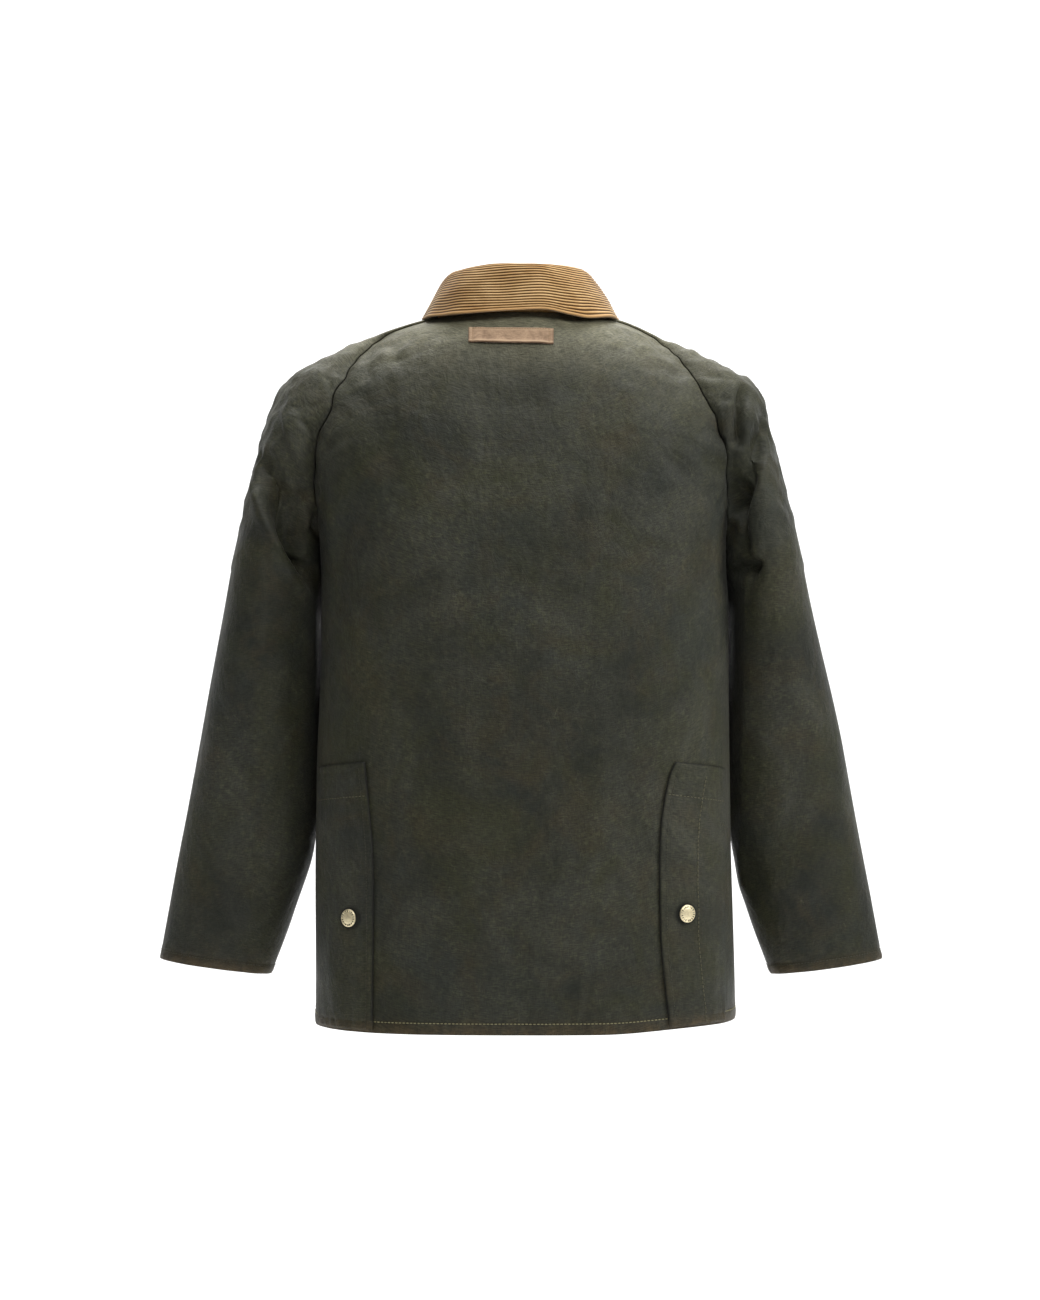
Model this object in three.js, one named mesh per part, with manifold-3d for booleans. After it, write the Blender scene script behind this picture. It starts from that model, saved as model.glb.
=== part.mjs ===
// Waxed cotton country jacket, filled out and hollow: raglan sleeves hanging at the sides, a turned-down
// corduroy collar, stud-fastened vents on the back and a zip down the front. Millimetres, +Z up. The back
// faces +Y and the front -Y; the wearer's left is +X. The origin is the middle of the neck, level with the
// shoulders that carry it.
import * as THREE from "three";
import Module from "manifold-3d";
import { mergeVertices } from "three/addons/utils/BufferGeometryUtils.js";

const wasm = await Module();
wasm.setup();

/** A table from one line of column names and its rows. */
const table = (names, ...rows) =>
  rows.map((row) => Object.fromEntries(names.split(" ").map((name, i) => [name, row[i]])));

// Driving dimensions
const CLOTH = 2; // waxed cotton, one wall
const SEAM = 0.3; // between two sewn pieces
const HEM_Z = -712; // length from the shoulders
const UNDERARM_Z = -262;
const NECK_BACK_Z = 3;
const NECK_FRONT_Z = -62;
const ZIP_OPENING = 6; // half the gap between the front edges, where the zip shows
const FRONT_NECK_BOW = 1.25; // how late the front neckline drops towards the middle

// Rows and columns of each panel's grid
const RAGLAN_ROWS = 13;
const BODY_ROWS = 11;
const SLEEVE_ROWS = 13;
const BACK_COLUMNS = 24;
const FRONT_COLUMNS = 12;
const SLEEVE_COLUMNS = 20;
const COLLAR_ROWS = 28;
const COLLAR_INNER_COLUMNS = 14;

// The two raglan seams of one side from the neck to the underarm, the top ridge of the sleeve between them,
// the depth of the sleeve and its lean, how far the body's sections turn before the seam (degrees) and how
// square they are.
const RAGLAN = table(
  "at backX backY backZ frontX frontY frontZ ridgeX ridgeZ halfDepth skew backTurn frontTurn power",
  [0, 84, 18, 2, 82, -35, -10, 88, 1, 28, 0.22, 72, 68, 2],
  [0.17, 138, 12, -16, 130, -50, -32, 148, -18, 33, 0.25, 66, 64, 2.1],
  [0.3, 166, 38, -43, 156, -72, -62, 205, -43, 58, 0.18, 62, 62, 2.2],
  [0.42, 179, 57, -65, 174, -87, -96, 241, -67, 75, 0.22, 60, 62, 2.3],
  [0.55, 192, 66, -95, 187, -93, -140, 258, -101, 84, 0.28, 66, 66, 2.4],
  [0.7, 205, 60, -131, 197, -86, -182, 269, -142, 87, 0.35, 78, 76, 2.5],
  [0.85, 208, 38, -185, 204, -62, -225, 281, -194, 89, 0.38, 88, 86, 2.6],
  [1, 207, -12, UNDERARM_Z, 207, -12, UNDERARM_Z, 297, UNDERARM_Z, 89, 0.36, 90, 90, 2.7],
);

// The sleeve below the underarm: outer and inner edge as seen from the back, and the depth and its middle.
const SLEEVE = table(
  "at outerX outerZ innerX innerZ middleY halfDepth skew",
  [1, 296, -262, 207, -262, -12, 89, 0.36],
  [1.1, 304, -300, 212, -298, -20, 86, 0.24],
  [1.3, 319, -372, 211, -368, -31, 79, 0.1],
  [1.5, 333, -442, 210, -436, -42, 70, 0.03],
  [1.72, 351, -532, 213, -528, -56, 57, 0],
  [1.88, 364, -597, 236, -608, -62, 48, 0],
  [2, 375, -654, 259, -670, -66, 41, 0],
);
const SLEEVE_POWER = 2.2;

// The middle line of the back and of the front, and the side seams.
const PROFILE = table(
  "z backY frontY sideX sideY",
  [HEM_Z, 142, -140, 211, -6],
  [-600, 141, -139, 210, -7],
  [-450, 139, -138, 208, -9],
  [-300, 137, -135, 207, -11],
  [-240, 134, -131, 207, -12],
  [-180, 129, -124, 207, -12],
  [-130, 122, -113, 207, -12],
  [-90, 114, -98, 207, -12],
  [NECK_FRONT_Z, 107, -84, 207, -12],
  [-35, 98, -72, 207, -12],
  [-12, 85, -64, 207, -12],
  [NECK_BACK_Z, 72, -60, 207, -12],
);
const BODY_POWER = 2.7;

// The collar's fold line and the free edge of its fall, from the middle of the back (0) to the front (1).
const COLLAR = table(
  "at foldX foldY foldZ edgeX edgeY edgeZ",
  [0, 0, 70, 51, 0, 96, 2],
  [0.2, 37, 59, 51, 56, 85, 2],
  [0.4, 65, 22, 49, 94, 38, 5],
  [0.55, 71, -10, 45, 101, -8, 5],
  [0.7, 66, -44, 26, 98, -64, -18],
  [0.85, 42, -78, -6, 82, -104, -66],
  [1, 9, -96, -35, 50, -118, -98],
);
const COLLAR_CLOTH = 2.2;
const COLLAR_LIFT = 0.5; // of the stand's foot off the neckline
const FOLD_RADIUS = 5;
const FALL_CROWN = 3;
const WALES = 37; // cords of the corduroy, about 3 mm apart
const WALE_HEIGHT = 0.7;

// The free edge of each vent's flap on the back, and the line near the side seam where the flap is sewn on.
const VENTS = table(
  "z leftX rightX",
  [-710, 144, 152],
  [-680, 144, 148],
  [-630, 144, 142],
  [-520, 144, 141],
  [-475, 146, 146],
  [-445, 153, 151],
);
const VENT_SEWN_X = 202;
const VENT_SHORT_OF_HEM = 0.05; // in rows of the back
const FLAP_LIFT = 0.6; // of a flap off the panel under it
const STUDS = { left: { x: 171, z: -600 }, right: { x: 165, z: -595 } };
// A stud's cap, from its foot over the rolled rim and the groove to the middle: radius and height
const STUD_PROFILE = [
  [0, 0], [7.6, 0], [8.5, 0.7], [8.4, 1.6], [7.4, 2.5],
  [6.5, 2.6], [5.9, 2.1], [4.6, 2.1], [3.9, 2.6], [0, 3],
];
const STUD_SIDES = 20;
const LABEL = { fromX: -32, toX: 52, topZ: -14, bottomZ: -30, lift: 0.6, cloth: 1, columns: 9 };

// The zip. Rows are rows of the fronts, and heights are measured out of the fronts' outer face.
const TAPE = { outX: 12.5, cloth: 0.8 };
const CHAIN = { fromRow: 0.3, halfWidth: 2.6, below: 0.2, thickness: 1.8, endsAbove: 0.4 };
const SLIDER = { row: 3.5, length: 10.8, halfWidth: 4.4, flangeIn: 2.95, flangeFoot: -1.9 };
const PLATE = { foot: 0.15, top: 1.55 }; // of the slider, over the chain
const BRIDGE = { tunnel: 2.4, leg: 1.5, width: 3, bar: 1.2 };
const PULL = { barRadius: 0.8, windowHalf: 2.1, halfWidth: 3.6, windowEnd: 5.6, length: 24 };

const WAXED = new THREE.MeshStandardMaterial({ color: 0x3b3d33, roughness: 0.55, metalness: 0 });
const CORDUROY = new THREE.MeshStandardMaterial({ color: 0xa0733f, roughness: 0.9, metalness: 0 });
const PATCH = new THREE.MeshStandardMaterial({ color: 0x5a3d2b, roughness: 0.8, metalness: 0 });
const TAPE_CLOTH = new THREE.MeshStandardMaterial({ color: 0x2b2a24, roughness: 0.9, metalness: 0 });
const BRASS = new THREE.MeshStandardMaterial({ color: 0xd9c48c, roughness: 0.35, metalness: 1 });

// The largest folds of the sleeves: troughs between two places, seen from the back (1) or the front (-1).
const FOLDS = table(
  "face fromX fromZ toX toZ width depth",
  [1, 262, -145, 242, -210, 17, 8],
  [1, 242, -210, 212, -270, 18, 10],
  [1, 250, -72, 208, -165, 15, 3],
  [-1, 268, -150, 226, -240, 18, 8],
  [-1, 300, -330, 232, -372, 16, 5],
  [1, -252, -100, -222, -185, 18, 10],
  [1, -222, -185, -236, -243, 16, 8],
  [1, -214, -505, -242, -575, 16, 4],
  [-1, -264, -140, -224, -236, 18, 8],
  [-1, -296, -318, -230, -362, 16, 5],
);

const mix = (a, b, t) => a + (b - a) * t;
const ease = (low, high, x) => THREE.MathUtils.smoothstep(x, low, high);
const radians = THREE.MathUtils.degToRad;

/** A curve through one column of a table against another: a monotone cubic, which never overshoots. */
function through(table, key, value) {
  const x = table.map((row) => row[key]);
  const y = table.map((row) => row[value]);
  const last = x.length - 1;
  const rise = y.slice(1).map((v, i) => (v - y[i]) / (x[i + 1] - x[i]));
  const slope = y.map((_, i) => {
    if (i === 0 || i === last) return rise[Math.min(i, last - 1)];
    const [before, after] = [rise[i - 1], rise[i]];
    return before * after <= 0 ? 0 : (2 * before * after) / (before + after);
  });
  return (at) => {
    const i = Math.max(0, Math.min(last - 1, x.findLastIndex((v) => v <= at)));
    const step = x[i + 1] - x[i];
    const t = THREE.MathUtils.clamp((at - x[i]) / step, 0, 1);
    const bend = ((1 - t) * slope[i] - t * slope[i + 1]) * step + (2 * t - 1) * (y[i + 1] - y[i]);
    return mix(y[i], y[i + 1], t) + t * (1 - t) * bend;
  };
}

/** Every column of a table as a curve against its key. */
const columns = (table, key) =>
  Object.fromEntries(Object.keys(table[0]).map((name) => [name, through(table, key, name)]));

const raglan = columns(RAGLAN, "at");
const sleeve = columns(SLEEVE, "at");
const profile = columns(PROFILE, "z");

/** Evenly spaced points along a curve of 0 to 1, from the distance `from` along it to its end. */
function spaced(curve, count, from = 0) {
  const fine = 200;
  const line = Array.from({ length: fine + 1 }, (_, i) => curve(i / fine));
  const along = [0];
  for (let i = 1; i <= fine; i++) along.push(along[i - 1] + line[i].distanceTo(line[i - 1]));
  return Array.from({ length: count + 1 }, (_, k) => {
    const want = mix(from, along[fine], k / count);
    const i = Math.min(fine - 1, Math.max(0, along.findLastIndex((v) => v <= want)));
    return line[i].clone().lerp(line[i + 1], (want - along[i]) / (along[i + 1] - along[i]));
  });
}

const rounded = (value, power) => Math.sign(value) * Math.abs(value) ** (2 / power);

/** One half of a body section, from the middle line (0) to the seam (1), on the wearer's left: an arc of a
 *  rounded oval. face: 1 back, -1 front. level: 0 at the neck, 1 at the underarm, 2 at the hem. */
function bodySection(face, level) {
  const side = face > 0 ? "back" : "front";
  const upper = Math.min(level, 1);
  const z = level > 1 ? mix(UNDERARM_Z, HEM_Z, level - 1) : raglan[`${side}Z`](upper);
  const edge = level > 1
    ? new THREE.Vector3(profile.sideX(z), profile.sideY(z), z)
    : new THREE.Vector3(raglan[`${side}X`](upper), raglan[`${side}Y`](upper), z);
  const neckZ = face > 0 ? NECK_BACK_Z : NECK_FRONT_Z;
  const middleZ = z + (neckZ - RAGLAN[0][`${side}Z`]) * (1 - upper);
  const middleY = profile[`${side}Y`](middleZ);
  const turn = radians(raglan[`${side}Turn`](upper));
  const power = level > 1 ? BODY_POWER : raglan.power(upper);
  const bow = face > 0 ? 1 : FRONT_NECK_BOW;
  return (u) => {
    const across = rounded(Math.sin(u * turn), power) / rounded(Math.sin(turn), power);
    const end = rounded(Math.cos(turn), power);
    const inward = Math.max(0, (rounded(Math.cos(u * turn), power) - end) / (1 - end));
    return new THREE.Vector3(
      edge.x * across,
      mix(edge.y, middleY, inward),
      mix(edge.z, middleZ, inward ** bow),
    );
  };
}

/** The sleeve's section from the back seam (0) over the outside to the front seam (1), on the wearer's left.
 *  Above the underarm it is an open arc between the raglan seams, and below it a closed loop. level: 0 at the
 *  neck, 1 at the underarm, 2 at the cuff. */
function sleeveSection(level) {
  const upper = level < 1;
  const back = new THREE.Vector3(raglan.backX(level), raglan.backY(level), raglan.backZ(level));
  const front = new THREE.Vector3(raglan.frontX(level), raglan.frontY(level), raglan.frontZ(level));
  const inner = upper
    ? back.clone().add(front).multiplyScalar(0.5)
    : new THREE.Vector3(sleeve.innerX(level), sleeve.middleY(level), sleeve.innerZ(level));
  const outer = upper
    ? new THREE.Vector3(raglan.ridgeX(level), inner.y, raglan.ridgeZ(level))
    : new THREE.Vector3(sleeve.outerX(level), inner.y, sleeve.outerZ(level));
  const sizes = upper ? raglan : sleeve;
  const outward = outer.clone().sub(inner);
  const reach = outward.length();
  outward.normalize();
  const along = new THREE.Vector3(0, 1, sizes.skew(level)).normalize();
  const halfChord = upper ? back.distanceTo(front) / 2 : 0;
  const halfDepth = Math.max(sizes.halfDepth(level), halfChord * 1.001);
  const chordShare = (1 - (halfChord / halfDepth) ** SLEEVE_POWER) ** (1 / SLEEVE_POWER);
  const halfReach = reach / (1 + chordShare);
  const turn = upper
    ? Math.atan2((halfChord / halfDepth) ** (SLEEVE_POWER / 2), -(chordShare ** (SLEEVE_POWER / 2)))
    : Math.PI;
  const oval = (angle) =>
    inner
      .clone()
      .addScaledVector(outward, reach - halfReach + halfReach * rounded(Math.cos(angle), SLEEVE_POWER))
      .addScaledVector(along, halfDepth * rounded(Math.sin(angle), SLEEVE_POWER));
  const atBack = upper ? back.clone().sub(oval(turn)) : new THREE.Vector3();
  const atFront = upper ? front.clone().sub(oval(-turn)) : new THREE.Vector3();
  return (u) =>
    oval(mix(turn, -turn, u))
      .addScaledVector(atBack, (1 - ease(0, 0.4, u)) ** 2)
      .addScaledVector(atFront, ease(0.6, 1, u) ** 2);
}

const mirrored = (point) => new THREE.Vector3(-point.x, point.y, point.z);
const mirrorGrid = (grid) => grid.map((row) => row.map(mirrored));

const steps = (count, from) => Array.from({ length: count }, (_, i) => from + (i + 1) / count);
const raglanLevels = [0, ...steps(RAGLAN_ROWS, 0)];
const bodyLevels = [...raglanLevels, ...steps(BODY_ROWS, 1)];
const sleeveLevels = [...raglanLevels, ...steps(SLEEVE_ROWS, 1)];

/** Unit normals of a grid of points, from its neighbours. Rows go down and columns across. */
function normalsOf(grid, closedFrom = Infinity) {
  const [rows, cols] = [grid.length - 1, grid[0].length - 1];
  return grid.map((row, i) =>
    row.map((_, j) => {
      const closed = i >= closedFrom && (j === 0 || j === cols);
      const right = closed ? row[1] : row[Math.min(j + 1, cols)];
      const left = closed ? row[cols - 1] : row[Math.max(j - 1, 0)];
      const below = grid[Math.min(i + 1, rows)][j];
      const above = grid[closed && i === closedFrom ? i : Math.max(i - 1, 0)][j];
      return right.clone().sub(left).cross(below.clone().sub(above)).normalize();
    }),
  );
}

/** Turns both pieces' normals on a shared seam half way to each other, less where the seam folds in. */
function matchNormals(a, b) {
  a.forEach((one, i) => {
    const other = b[i];
    const share = ease(0, 0.5, one.dot(other));
    const middle = one.clone().add(other).normalize();
    one.lerp(middle, share).normalize();
    other.lerp(middle, share).normalize();
  });
}

/** One column of a grid, from one row to the row before another. */
const column = (grid, at, from = 0, to = grid.length) => grid.slice(from, to).map((row) => row.at(at));

/** Triangles of a strip between two lines of points that may differ in number. */
function bridge(a, b, out) {
  let [i, j] = [0, 0];
  const [lastA, lastB] = [a.length - 1, b.length - 1];
  while (i < lastA || j < lastB) {
    const stepA = i < lastA && (j === lastB || (i + 1) / lastA <= (j + 1) / lastB);
    if (stepA) out.push(a[i], a[i + 1], b[j]);
    else out.push(a[i], b[j + 1], b[j]);
    if (stepA) i++;
    else j++;
  }
}

/** A closed wall between an outer and an inner grid, which have the same rows and may differ in columns. From
 *  row closedFrom on, the first and last columns of each are the same. */
function wall(outer, inner, closedFrom = Infinity) {
  const out = [];
  const face = (grid, flip) =>
    grid.slice(1).forEach((low, i) =>
      low.slice(1).forEach((_, j) => {
        const [a, b, c, d] = [grid[i][j], grid[i][j + 1], low[j + 1], low[j]];
        out.push(...(flip ? [a, c, d, a, b, c] : [a, d, c, a, c, b]));
      }),
    );
  face(outer, false);
  face(inner, true);
  const open = Math.min(outer.length, closedFrom + 1);
  bridge(outer[0], inner[0], out);
  bridge(outer.at(-1).toReversed(), inner.at(-1).toReversed(), out);
  bridge(column(outer, 0, 0, open).toReversed(), column(inner, 0, 0, open).toReversed(), out);
  bridge(column(outer, -1, 0, open), column(inner, -1, 0, open), out);
  return meshOf(out);
}

/** A geometry from a list of triangle corners, turned so that its faces point out. */
function meshOf(corners) {
  let volume = 0;
  for (let i = 0; i < corners.length; i += 3)
    volume += corners[i].dot(corners[i + 1].clone().cross(corners[i + 2]));
  const turned = () => corners.flatMap((p, i) => (i % 3 ? [] : [p, corners[i + 2], corners[i + 1]]));
  const order = volume > 0 ? corners : turned();
  return new THREE.BufferGeometry().setAttribute(
    "position",
    new THREE.Float32BufferAttribute(order.flatMap((p) => [p.x, p.y, p.z]), 3),
  );
}

const offset = (grid, normals, by) =>
  grid.map((row, i) => row.map((p, j) => p.clone().addScaledVector(normals[i][j], by)));

/** Draws the edge of a panel back along the cloth and into its thickness, to leave half a seam. */
function openSeam(panel, at, from, to) {
  for (let i = from; i < to; i++) {
    const row = panel.points[i];
    const edge = row.at(at);
    const next = at === 0 ? row[1] : row.at(-2);
    const closed = i >= panel.closedFrom;
    const along = closed ? new THREE.Vector3() : next.clone().sub(edge).normalize();
    edge.addScaledVector(along, SEAM / 2).addScaledVector(panel.normals[i].at(at), -SEAM / 2);
  }
}

/** A panel's outer face with its outward directions. turn: -1 for a mirrored grid. */
const panelOf = (points, closedFrom = Infinity, turn = 1) => ({
  points,
  closedFrom,
  normals: normalsOf(points, closedFrom).map((row) => row.map((n) => n.multiplyScalar(turn))),
});

/** The jacket hangs a little unevenly. Its right shoulder lies lower and its right sleeve closer in, the
 *  right of the hem swings out and up, and the collar is a little narrower on the right. */
function settled(point) {
  const { x, z } = point;
  const r = Math.abs(x);
  const hem = ease(520, 690, -z);
  if (x > 0) return point.setX(x - 2 * ease(120, 200, r) * hem * (1 - ease(214, 228, r)));
  const body = 1 - ease(214, 228, r);
  const arm = ease(215, 262, r) * ease(60, 110, -z) * (1 - ease(250, 440, -z));
  const shoulder = ease(100, 150, r) * (1 - ease(40, 260, -z));
  const neck = ease(45, 80, r) * ease(0, 22, z);
  return new THREE.Vector3(
    x + 7 * arm + 4.5 * neck - 7 * ease(120, 200, r) * hem * body,
    point.y,
    z - 5 * shoulder + 5 * ease(80, 190, r) * ease(560, 712, -z) * body,
  );
}

/** Presses the folds into a sleeve, but not into its armhole seam. */
function creased(panel) {
  const last = panel.points[0].length - 1;
  const moved = panel.points.map((row, i) =>
    row.map((p, j) => {
      const n = panel.normals[i][j];
      const clear = i > panel.closedFrom ? 1 : ease(0, 3, Math.min(j, last - j));
      let depth = 0;
      for (const fold of FOLDS) {
        const from = new THREE.Vector2(fold.fromX, fold.fromZ);
        const along = new THREE.Vector2(fold.toX, fold.toZ).sub(from);
        const off = new THREE.Vector2(p.x, p.z).sub(from);
        const share = THREE.MathUtils.clamp(off.dot(along) / along.lengthSq(), 0, 1);
        const distance = off.addScaledVector(along, -share).length() / fold.width;
        depth += fold.depth * Math.exp(-distance * distance) * ease(0.05, 0.5, fold.face * n.y);
      }
      return p.clone().addScaledVector(n, -depth * clear);
    }),
  );
  return moved;
}

const backHalf = bodyLevels.map((level) => spaced(bodySection(1, level), BACK_COLUMNS / 2));
const frontHalf = bodyLevels.map((level) =>
  spaced(bodySection(-1, level), FRONT_COLUMNS, ZIP_OPENING).toReversed(),
);
const sleeveHalf = sleeveLevels.map((level) => spaced(sleeveSection(level), SLEEVE_COLUMNS));
// From the underarm down the sleeve is closed, so its first and last columns are made the same.
for (const row of sleeveHalf.slice(RAGLAN_ROWS)) row.at(-1).copy(row[0]);

const settledGrid = (grid) => grid.map((row) => row.map((p) => settled(p.clone())));

/** A sleeve with its folds. side: 1 left, -1 right. */
function sleevePanel(side) {
  const smooth = panelOf(settledGrid(side > 0 ? sleeveHalf : mirrorGrid(sleeveHalf)), RAGLAN_ROWS, side);
  const made = panelOf(creased(smooth), RAGLAN_ROWS, side);
  for (const grid of [made.points, made.normals])
    for (const row of grid.slice(RAGLAN_ROWS)) row.at(-1).copy(row[0]);
  return made;
}

const wholeRow = (row) => [...row.slice(1).toReversed().map(mirrored), ...row];
const back = panelOf(settledGrid(backHalf.map(wholeRow)));
const frontLeft = panelOf(settledGrid(frontHalf));
const frontRight = panelOf(settledGrid(mirrorGrid(frontHalf)), Infinity, -1);
const sleeveLeft = sleevePanel(1);
const sleeveRight = sleevePanel(-1);

/** The neck edge of one side, from the middle of the back to the front. */
const neckEdge = (backRow, sleeve, front) =>
  [...backRow, ...sleeve.points[0].slice(1), ...front.points[0].slice(1)].map((point) => point.clone());
const middleColumn = BACK_COLUMNS / 2;
const necklineLeft = neckEdge(back.points[0].slice(middleColumn), sleeveLeft, frontLeft);
const rightOfBack = back.points[0].slice(0, middleColumn + 1).toReversed();
const necklineRight = neckEdge(rightOfBack, sleeveRight, frontRight);

// Both edges of each seam share one direction for their rims.
const armhole = RAGLAN_ROWS + 1;
for (const [at, sleeve, front] of [[-1, sleeveLeft, frontLeft], [0, sleeveRight, frontRight]]) {
  matchNormals(column(back.normals, at, 0, RAGLAN_ROWS), column(sleeve.normals, 0, 0, RAGLAN_ROWS));
  matchNormals(column(front.normals, 0, 0, RAGLAN_ROWS), column(sleeve.normals, -1, 0, RAGLAN_ROWS));
  matchNormals(column(back.normals, at, RAGLAN_ROWS), column(front.normals, 0, RAGLAN_ROWS));
}

const rows = bodyLevels.length;
for (const [panel, at, to] of [
  [back, 0, rows],
  [back, -1, rows],
  [frontLeft, 0, rows],
  [frontRight, 0, rows],
  [sleeveLeft, 0, armhole],
  [sleeveRight, 0, armhole],
  [sleeveLeft, -1, armhole],
  [sleeveRight, -1, armhole],
])
  openSeam(panel, at, 0, to);

const panelWall = (panel) =>
  wall(panel.points, offset(panel.points, panel.normals, -CLOTH), panel.closedFrom);

/** A point of a panel's outer face at a fractional row and column, moved out along the panel's directions. */
function onPanel(panel, row, at, lift) {
  const i = Math.min(Math.floor(row), panel.points.length - 2);
  const j = THREE.MathUtils.clamp(Math.floor(at), 0, panel.points[0].length - 2);
  const blend = (grid) => {
    const upper = grid[i][j].clone().lerp(grid[i][j + 1], at - j);
    const lower = grid[i + 1][j].clone().lerp(grid[i + 1][j + 1], at - j);
    return upper.lerp(lower, row - i);
  };
  return blend(panel.points).addScaledVector(blend(panel.normals), lift);
}

/** The fractional column of a panel where a row has the width x, past its edge too. */
function columnAt(panel, row, x) {
  const line = panel.points[0].map((_, j) => onPanel(panel, row, j, 0).x);
  const falling = line[0] > line.at(-1);
  const past = (value) => (falling ? value <= x : value >= x);
  const found = line.findIndex(past);
  const j = Math.max(0, Math.min(line.length - 2, (found < 0 ? line.length : found) - 1));
  return j + (x - line[j]) / (line[j + 1] - line[j]);
}

/** The fractional row of a panel where its column reaches the height z. */
function rowAt(panel, at, z) {
  const line = panel.points.map((_, i) => onPanel(panel, i, at, 0).z);
  const i = line.findIndex((value) => value <= z) - 1;
  return i + (z - line[i]) / (line[i + 1] - line[i]);
}

/** A patch that lies on a panel: a grid of fractional rows, each with its own fractional columns. */
function patchWall(panel, patchRows, columnsOf, lift, thickness) {
  const at = (by) => patchRows.map((row) => columnsOf(row).map((one) => onPanel(panel, row, one, by)));
  return wall(at(lift + thickness), at(lift));
}

/** The whole rows or columns between two fractional ones, with those two. */
function wholeBetween(from, to, nearest = 0.1) {
  const whole = Array.from({ length: Math.ceil(to) }, (_, i) => i);
  return [from, ...whole.filter((i) => i > from + nearest && i < to - nearest), to];
}

const ventEdge = columns(VENTS, "z");

/** The flap of one vent, from its free edge to the line where it is sewn on. side: 1 left, -1 right. */
function ventFlap(side) {
  const name = side > 0 ? "leftX" : "rightX";
  const last = back.points.length - 1;
  const from = rowAt(back, columnAt(back, last, side * VENTS.at(-1)[name]), VENTS.at(-1).z);
  const span = (row) => {
    const z = onPanel(back, row, BACK_COLUMNS / 2, 0).z;
    const free = columnAt(back, row, side * ventEdge[name](z));
    const sewn = columnAt(back, row, side * VENT_SEWN_X);
    return [Math.min(free, sewn), Math.max(free, sewn)];
  };
  const flapRows = wholeBetween(from, last - VENT_SHORT_OF_HEM);
  const spans = flapRows.map(span);
  const lowest = Math.min(...spans.map(([low]) => low));
  const highest = Math.max(...spans.map(([, high]) => high));
  const whole = back.points[0].map((_, j) => j).filter((j) => j > lowest && j < highest);
  const clear = 0.08;
  const columnsOf = (row) => {
    const [low, high] = span(row);
    return [low, ...whole.map((j) => THREE.MathUtils.clamp(j, low + clear, high - clear)), high];
  };
  return patchWall(back, flapRows, columnsOf, FLAP_LIFT, CLOTH);
}

/** The place of a piece that sits on a panel at a width and a height: its z points out of the panel. */
function seat(panel, x, z, lift) {
  let row = panel.points.length - 2;
  for (let k = 0; k < 8; k++) row = rowAt(panel, columnAt(panel, row, x), z);
  const at = columnAt(panel, row, x);
  const [i, j] = [Math.floor(row), Math.floor(at)];
  const across = panel.points[i][j + 1].clone().sub(panel.points[i][j]);
  const down = panel.points[i + 1][j].clone().sub(panel.points[i][j]);
  const out = across.clone().cross(down).normalize();
  across.normalize();
  return new THREE.Matrix4()
    .makeBasis(across, out.clone().cross(across), out)
    .setPosition(onPanel(panel, row, at, lift));
}

/** A stud's cap, with its middle line along z. */
function studCap() {
  const profile = STUD_PROFILE.map(([r, h]) => new THREE.Vector2(r, h));
  return bare(new THREE.LatheGeometry(profile, STUD_SIDES).rotateX(Math.PI / 2));
}

/** A geometry without its normals and texture places, with its doubled corners joined. */
function bare(geometry) {
  const made = new THREE.BufferGeometry().setAttribute("position", geometry.getAttribute("position"));
  return mergeVertices(geometry.index ? made.setIndex(geometry.index) : made, 1e-4);
}

function labelPatch() {
  const middle = BACK_COLUMNS / 2;
  const columnsOf = (row) => {
    const [from, to] = [columnAt(back, row, LABEL.fromX), columnAt(back, row, LABEL.toX)];
    return Array.from({ length: LABEL.columns }, (_, k) => mix(from, to, k / (LABEL.columns - 1)));
  };
  const labelRows = wholeBetween(rowAt(back, middle, LABEL.topZ), rowAt(back, middle, LABEL.bottomZ));
  return patchWall(back, labelRows, columnsOf, LABEL.lift, LABEL.cloth);
}

/** The point a share of the way along a line of points. */
function alongLine(line, share) {
  const lengths = line.slice(1).map((p, i) => p.distanceTo(line[i]));
  let left = lengths.reduce((a, b) => a + b) * share;
  let i = 0;
  while (i < lengths.length - 1 && left > lengths[i]) left -= lengths[i++];
  return line[i].clone().lerp(line[i + 1], left / lengths[i]);
}

// The collar's table over both sides: to the right of the middle its widths and shares are negative.
const bothSides = [
  ...COLLAR.slice(1)
    .toReversed()
    .map((row) => ({ ...row, at: -row.at, foldX: -row.foldX, edgeX: -row.edgeX })),
  ...COLLAR,
];
const collarLine = columns(bothSides, "at");

/** The collar's section at a share from -1 (right front) over 0 (back) to 1 (left front): up the neck side of
 *  the stand, over the fold and down the outside of the fall. */
function collarSection(at) {
  const foot = alongLine(at < 0 ? necklineRight : necklineLeft, Math.abs(at));
  const fold = settled(new THREE.Vector3(collarLine.foldX(at), collarLine.foldY(at), collarLine.foldZ(at)));
  const edge = settled(new THREE.Vector3(collarLine.edgeX(at), collarLine.edgeY(at), collarLine.edgeZ(at)));
  const up = fold.clone().sub(foot).normalize();
  const out = edge.clone().sub(fold).setZ(0).normalize();
  const moved = (point, alongOut, alongUp) =>
    point.clone().addScaledVector(out, alongOut).addScaledVector(up, alongUp);
  const crown = moved(fold.clone().add(edge).multiplyScalar(0.5), FALL_CROWN, FALL_CROWN / 2);
  return new THREE.CatmullRomCurve3(
    [
      moved(foot, 0, COLLAR_LIFT),
      moved(foot.clone().lerp(fold, 0.5), -FOLD_RADIUS / 3, 0),
      moved(fold, -FOLD_RADIUS, -1.2 * FOLD_RADIUS),
      fold,
      moved(fold, FOLD_RADIUS, -0.6 * FOLD_RADIUS),
      crown,
      edge,
    ],
    false,
    "centripetal",
  );
}

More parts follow.
